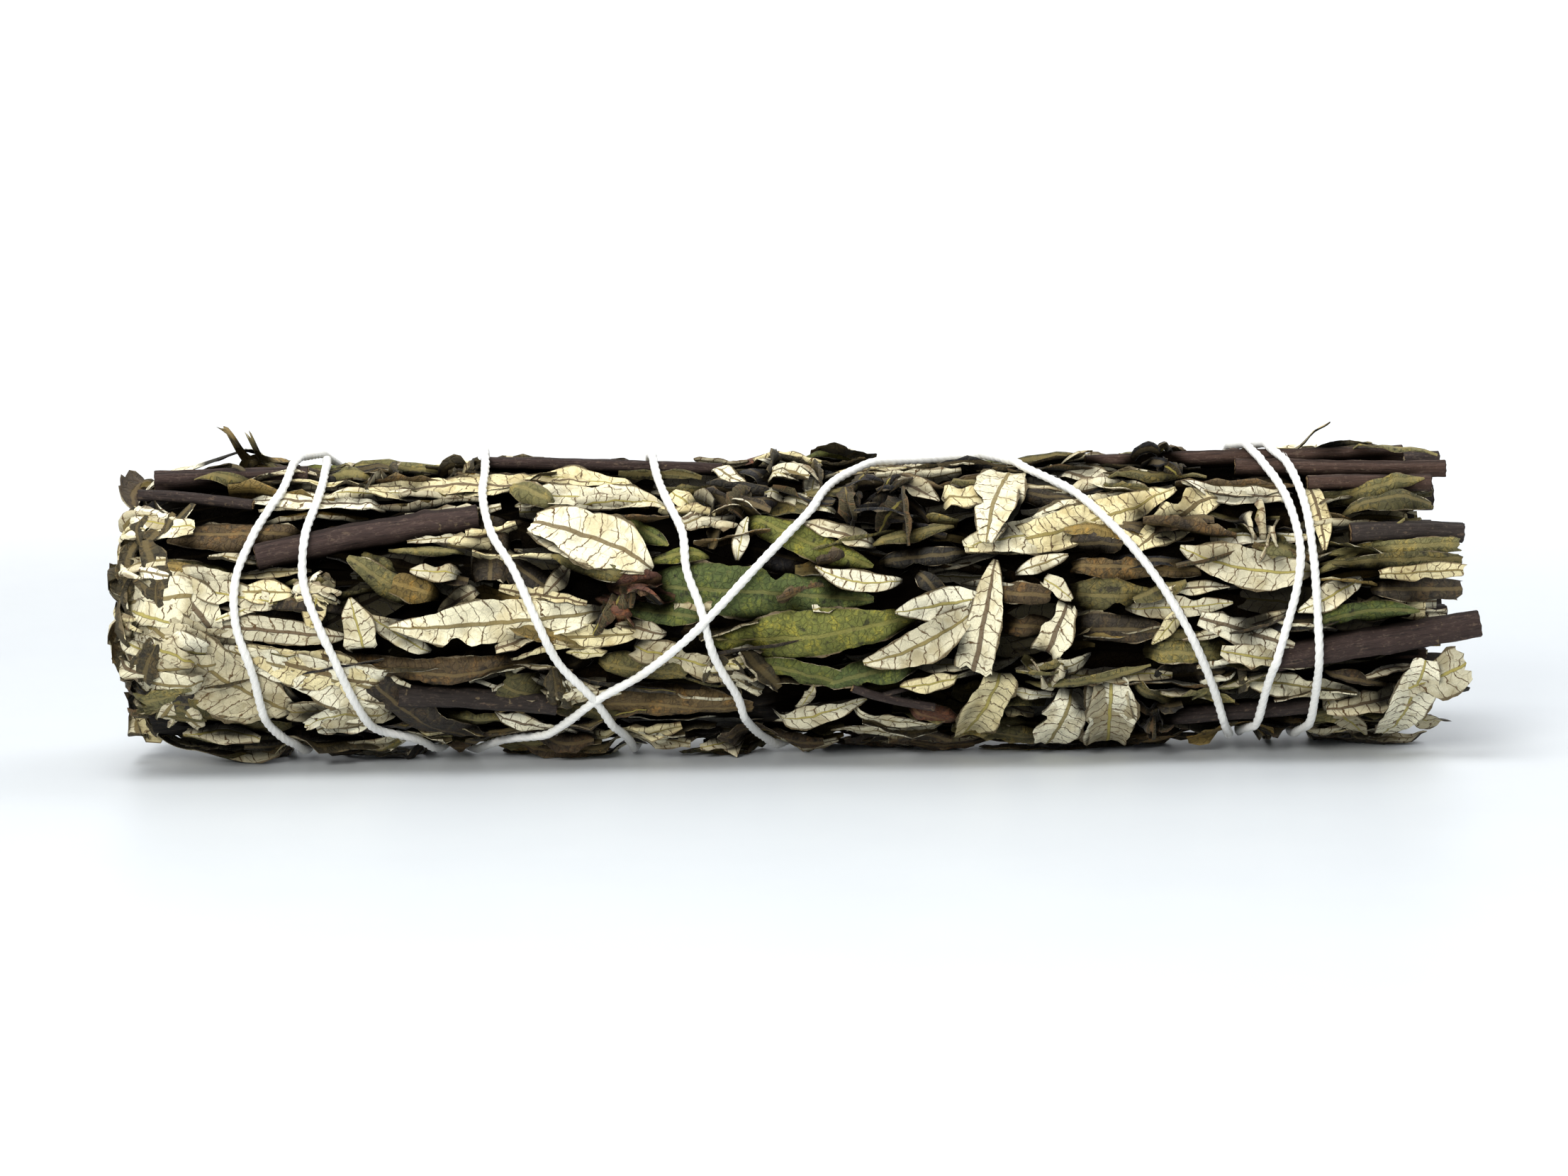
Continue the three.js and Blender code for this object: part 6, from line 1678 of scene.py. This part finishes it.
def crossings(flat):
    """Pairs of places where a later turn of the string crosses an earlier one."""
    found = []
    turn_steps = int(TURN_AT_LEAST / TIGHT_STEP)
    for later in range(turn_steps + 1, len(flat), 2):
        earlier = np.arange(0, later - turn_steps)
        across = np.abs(np.sin((flat[later, 1] - flat[earlier, 1]) / SEEN_RADIUS / 2)) * 2 * SEEN_RADIUS
        away = np.hypot(flat[later, 0] - flat[earlier, 0], across)
        nearest = int(np.argmin(away))
        if away[nearest] < CROSSING_WITHIN:
            found.append((later, nearest))
    return found


def press_under_string(line):
    """How far out a leaf may reach under and beside the string, on a grid of half millimetres."""
    length = even_points(line, 1, ROPE_DIVISIONS)[1]
    places = even_points(line, int(length / 0.4), PRESS_DIVISIONS)[0]
    radius = np.hypot(places[:, 1], places[:, 2]) - STRING_DIAMETER / 2 - 0.1
    around = np.arctan2(places[:, 2], -places[:, 1])
    for dx in np.arange(-3, 3.1, 0.5):
        for da in np.arange(-3, 3.1, 0.5):
            i = press_row(places[:, 0] + dx).round().astype(int)
            j = press_column(around + da / SEEN_RADIUS).round().astype(int) % PRESS_AROUND
            away = math.hypot(dx, da)
            np.minimum.at(press, (i, j), radius + 0.3 * max(0, away - 0.6) ** 1.6)
    rows = np.arange(press.shape[0]) / 2 + GRID_LEFT
    shoulder = LEFT_PRESSED + LEFT_PRESS_SLOPE * np.maximum(0, rows - SHOULDER_X)
    np.minimum(press, shoulder[:, None], out=press)


def press_row(along):
    return np.clip((np.asarray(along) - GRID_LEFT) * 2, 0, press.shape[0] - 2.001)


def press_column(around):
    return np.mod(np.asarray(around) / (2 * math.pi) * PRESS_AROUND, PRESS_AROUND)


def pressed(along, around, radius):
    """Radii kept under the string."""
    return np.minimum(radius, read_grid(press, along, around))


def read_grid(grid, along, around):
    """A grid's value between its four nearest places."""
    row, column = press_row(along), press_column(around)
    i, j = np.floor(row).astype(int), np.floor(column).astype(int)
    u, v = row - i, column - j
    j, k = j % PRESS_AROUND, (j + 1) % PRESS_AROUND
    low = grid[i, j] * (1 - v) + grid[i, k] * v
    high = grid[i + 1, j] * (1 - v) + grid[i + 1, k] * v
    return low * (1 - u) + high * u


def radius_and_angle(points):
    return np.hypot(points[:, 1], points[:, 2]), np.arctan2(points[:, 2], -points[:, 1])


def outer_level(patches):
    """How far out the pieces reach near each place, on the same grid, for the painted gap shade."""
    top = np.full(press.shape, BED_RADIUS - 5.0)
    for patch in patches:
        points = np.concatenate(patch.points)
        radius, around = radius_and_angle(points)
        i = press_row(points[:, 0]).round().astype(int)
        j = press_column(around).round().astype(int) % PRESS_AROUND
        np.maximum.at(top, (i, j), radius)
    steps = range(-PAINTED_SHADE_NEAR, PAINTED_SHADE_NEAR + 1)
    near = [(i, j) for i in steps for j in steps if math.hypot(i, j) <= PAINTED_SHADE_NEAR]
    highest = np.maximum.reduce([np.roll(top, shift, axis=(0, 1)) for shift in near])
    return sum(np.roll(highest, shift, axis=(0, 1)) for shift in near) / len(near)


def painted_gap_shade_at(points, level):
    """Painted shade for each point, from how far it lies below its neighbours: 0 on the outside and 1 far
    down in a gap.
    """
    radius, around = radius_and_angle(points)
    depth = read_grid(level, points[:, 0], around) - radius
    from_end = np.minimum(PAINTED_SHADE_RIGHT - points[:, 0], points[:, 0] - PAINTED_SHADE_LEFT)
    depth = np.minimum(depth, PAINTED_SHADE_AT_ENDS * from_end)
    return smooth(PAINTED_SHADE_FROM, PAINTED_SHADE_TO, depth)


def knot(patch, line, draw):
    """Two turns of the string over each other, and its two cut ends."""
    end = (line[0] + line[-1]) / 2
    outwards = np.array([0, end[1], end[2]])
    outwards /= np.linalg.norm(outwards)
    turns = np.linspace(0, 2 * math.pi + 0.3, 20)
    ring = np.stack([np.cos(turns), np.sin(turns), 0 * turns], axis=-1) * KNOT_RADIUS
    for turn in (0.5, 2.1):
        turned = turned_about(turned_about(ring, 0, turn), 1, turn / 2)
        rope(patch, turned + end + outwards * 0.5, draw)
    for dx, dz in KNOT_TAILS:
        tail = np.array([end + np.array([dx, 0, dz]) * s for s in (0, 0.5, 1)])
        reach = math.hypot(end[1], end[2]) + 0.4
        tail[:, 1:] *= (reach / np.hypot(tail[:, 1], tail[:, 2]))[:, None]
        rope(patch, tail, draw)


def fuzz(patch, line, draw):
    """Loose cotton fibres that stand off the string."""
    length = even_points(line, 1, ROPE_DIVISIONS)[1]
    places = even_points(line, int(length), ROPE_DIVISIONS)[0]
    for _ in range(FUZZ_FIBRES):
        k = int(draw.between(1, len(places) - 2))
        forward = places[k + 1] - places[k]
        turn = draw.between(0, 2 * math.pi)
        across = turned_about(np.array([0.0, math.cos(turn), math.sin(turn)]), 2, draw.between(-1, 1))
        start = places[k] + forward * draw.next() + across * STRING_DIAMETER * 0.38
        lean = forward * draw.between(-1.2, 1.2)
        rise = across * draw.between(0.25, 0.7)
        curve = np.array([start, start + 0.5 * lean + 0.7 * rise, start + lean + 0.6 * rise])
        wide = np.cross(across, lean + 0.01) * 0.03
        ribbon = np.stack([curve - wide, curve + wide], axis=1)
        patch.grid(ribbon, 0, ribbon, np.zeros(3), COTTON_TINT)


def turned_about(points, axis, angle):
    a, b = [(1, 2), (2, 0), (0, 1)][axis]
    turned = points.copy()
    turned[..., a] = points[..., a] * math.cos(angle) - points[..., b] * math.sin(angle)
    turned[..., b] = points[..., a] * math.sin(angle) + points[..., b] * math.cos(angle)
    return turned


def inner_lines():
    """The straight stems in the middle: one in the centre and six round it."""
    made = []
    for i in range(INNER_STEMS):
        turn = math.pi / 3 * i + 0.2
        radius = 0 if i == 0 else INNER_SPACING
        diameter = 5.1 - 0.35 * abs(math.sin(i * 2.1))
        left, right = -99 - 2 * math.sin(i * 1.3), 104 + 3.2 * math.sin(i * 2.7)
        centre = [-radius * math.cos(turn), radius * math.sin(turn)]
        line = np.array([[x, *centre] for x in np.linspace(left, right, 5)])
        made.append((line, diameter))
    return made


def butt(number):
    """The cut end of a leafy stem's own wood."""
    x = CORE_RIGHT + 3 + 3 * math.sin(number * 2.4)
    around = (wall_angle(number, x) + math.pi / LEAFY_STEMS) % (2 * math.pi)
    line = point(np.array([x - 60, x - 30, x]), around, 15)
    return line, 4.4 + 0.5 * math.cos(number * 1.7)


def part_of(made, nodes):
    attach(made, "root")
    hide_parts(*nodes)
    return made


SHIFT = shift_of_axis()
draw = Draw(RULE_SEED)
front = front_leaves(draw, FRONT_LEAVES)
rule = rule_leaves(draw)
ends = end_leaves(draw)
under = under_leaves(draw)
leaves = rule + ends + front + under
stems = make_stems()
lay_all(leaves, stems)
finer = Draw(FINER_SEED)
for leaf in front_leaves(finer, TOP_LEAVES):
    leaf.lay()
    leaves.append(leaf)
pile_top = pile.copy()
line = tight_line(stems)
press_under_string(line)

underside = underside_material()
upperside = upperside_material()
bark = bark_material()
cut_wood = cut_wood_material()
leaf_materials = [underside, upperside, pressed_material(), bark, cut_wood]
patches = [Patch() for _ in range(LEAFY_STEMS)]
for number in range(LEAFY_STEMS):
    core_skin(patches[number], number, finer)
    butt_line, butt_diameter = butt(number)
    bark_stem(patches[number], butt_line, butt_diameter, finer, LEAF_BARK, LEAF_CUT_WOOD)
for leaf in fill_leaves(finer):
    leaf_blade(patches[owner_of(*leaf.start)], leaf, finer, COARSE_STEP)
for leaf in leaves:
    leaf_blade(patches[owner_of(*leaf.start)], leaf, finer, LEAF_STEP)
slivers(patches, finer)
crumples(patches, finer)
left_tips(patches, finer)
blocked = [(*butt(number)[0][-1, 1:], 2.5) for number in range(LEAFY_STEMS)]
blocked += [(*inner[-1, 1:], diameter / 2) for inner, diameter in inner_lines()]
blocked += [(*stem.line()[-1, 1:], stem.diameter / 2) for stem in stems if stem.end[0] > 90]
end_twigs(patches, finer, blocked)
right_edges(patches, finer, blocked)

bare = {}
for stem in stems:
    bare[stem.name] = Patch()
    bark_stem(bare[stem.name], stem.line(), stem.diameter, finer)
    if stem.name == FORKED_STEM:
        bark_stem(bare[stem.name], fork_line(stem), 0.9, finer)
for i, (inner, diameter) in enumerate(inner_lines()):
    bare[f"inner_stem_{i + 1}"] = Patch()
    bark_stem(bare[f"inner_stem_{i + 1}"], inner, diameter, finer)

level = outer_level([*patches, *bare.values()])
for number, patch in enumerate(patches):
    made = patch.piece(f"leaves_{number + 1}", leaf_materials, level)
    part_of(made, [f"leafy_stem_{number + 1}"])
for name, patch in bare.items():
    part_of(patch.piece(name + "_bark", [bark, cut_wood], level), [name])

patch = Patch()
rope(patch, line, finer)
knot(patch, line, finer)
fuzz(patch, line, finer)
part_of(patch.piece("cotton_string", [cotton_material()], level), ["string"])


def sweep_floor():
    """A plain pale sheet that the bundle lies on, curving up behind it."""
    rows = [(-1.2, 0.0), (0.35, 0.0)]
    for k in range(1, 13):
        turn = math.radians(7.5 * k)
        rows.append((0.35 + 0.3 * math.sin(turn), 0.3 - 0.3 * math.cos(turn)))
    rows.append((0.65, 1.6))
    points = [(x, y, z) for y, z in rows for x in (-1.6, 1.6)]
    faces = [(2 * k, 2 * k + 1, 2 * k + 3, 2 * k + 2) for k in range(len(rows) - 1)]
    mesh = bpy.data.meshes.new("pale_floor")
    mesh.from_pydata(points, [], faces)
    mesh.materials.append(floor_material())
    for polygon in mesh.polygons:
        polygon.use_smooth = True
    floor = bpy.data.objects.new("pale_floor", mesh)
    bpy.context.scene.collection.objects.link(floor)


def soft_light(name, place, size, power, aim=(0, 0, 0.02), colour=(1, 1, 1)):
    light = bpy.data.lights.new(name, "AREA")
    light.shape = "SQUARE"
    light.size = size
    light.energy = power
    light.color = colour
    made = bpy.data.objects.new(name, light)
    made.location = place
    towards = Vector(aim) - Vector(place)
    made.rotation_euler = towards.to_track_quat("-Z", "Y").to_euler()
    bpy.context.scene.collection.objects.link(made)


def photo_camera():
    """The photo looks a little down at the bundle, with its axis rising slightly to the right."""
    camera = bpy.data.cameras.new("camera")
    camera.sensor_width = SENSOR_WIDTH
    camera.lens = SENSOR_WIDTH * EYE_DISTANCE / PHOTO_WIDTH
    camera.clip_start = 0.01
    forward = Vector((0, math.cos(EYE_TILT), -math.sin(EYE_TILT)))
    upwards = Vector((0, math.sin(EYE_TILT), math.cos(EYE_TILT)))
    middle = (SHIFT + np.array([PHOTO_MIDDLE_X, 0, 0])) * 0.001
    target = Vector(middle) + upwards * PHOTO_ABOVE_AXIS * 0.001
    place = target - forward * EYE_DISTANCE * 0.001
    turn = forward.to_track_quat("-Z", "Y").to_matrix().to_4x4()
    roll = Matrix.Rotation(-math.radians(PHOTO_ROLL_DEG), 4, "Z")
    made = bpy.data.objects.new("camera", camera)
    made.matrix_world = Matrix.Translation(place) @ turn @ roll
    bpy.context.scene.collection.objects.link(made)
    bpy.context.scene.camera = made


def studio():
    world = bpy.data.worlds.new("studio")
    world.use_nodes = True
    background = world.node_tree.nodes["Background"]
    background.inputs["Color"].default_value = (0.95, 0.98, 1, 1)
    background.inputs["Strength"].default_value = WORLD_LIGHT
    bpy.context.scene.world = world
    bpy.context.scene.view_settings.view_transform = "Standard"
    soft_light("top_light", (-0.15, -0.2, 0.75), 0.4, 4.5)
    soft_light("front_light", (-0.3, -0.8, 0.45), 0.3, 5.7, colour=(1, 0.98, 0.93))
    soft_light("back_light", (0.4, 0.3, 0.6), 0.5, 2)


sweep_floor()
photo_camera()
studio()
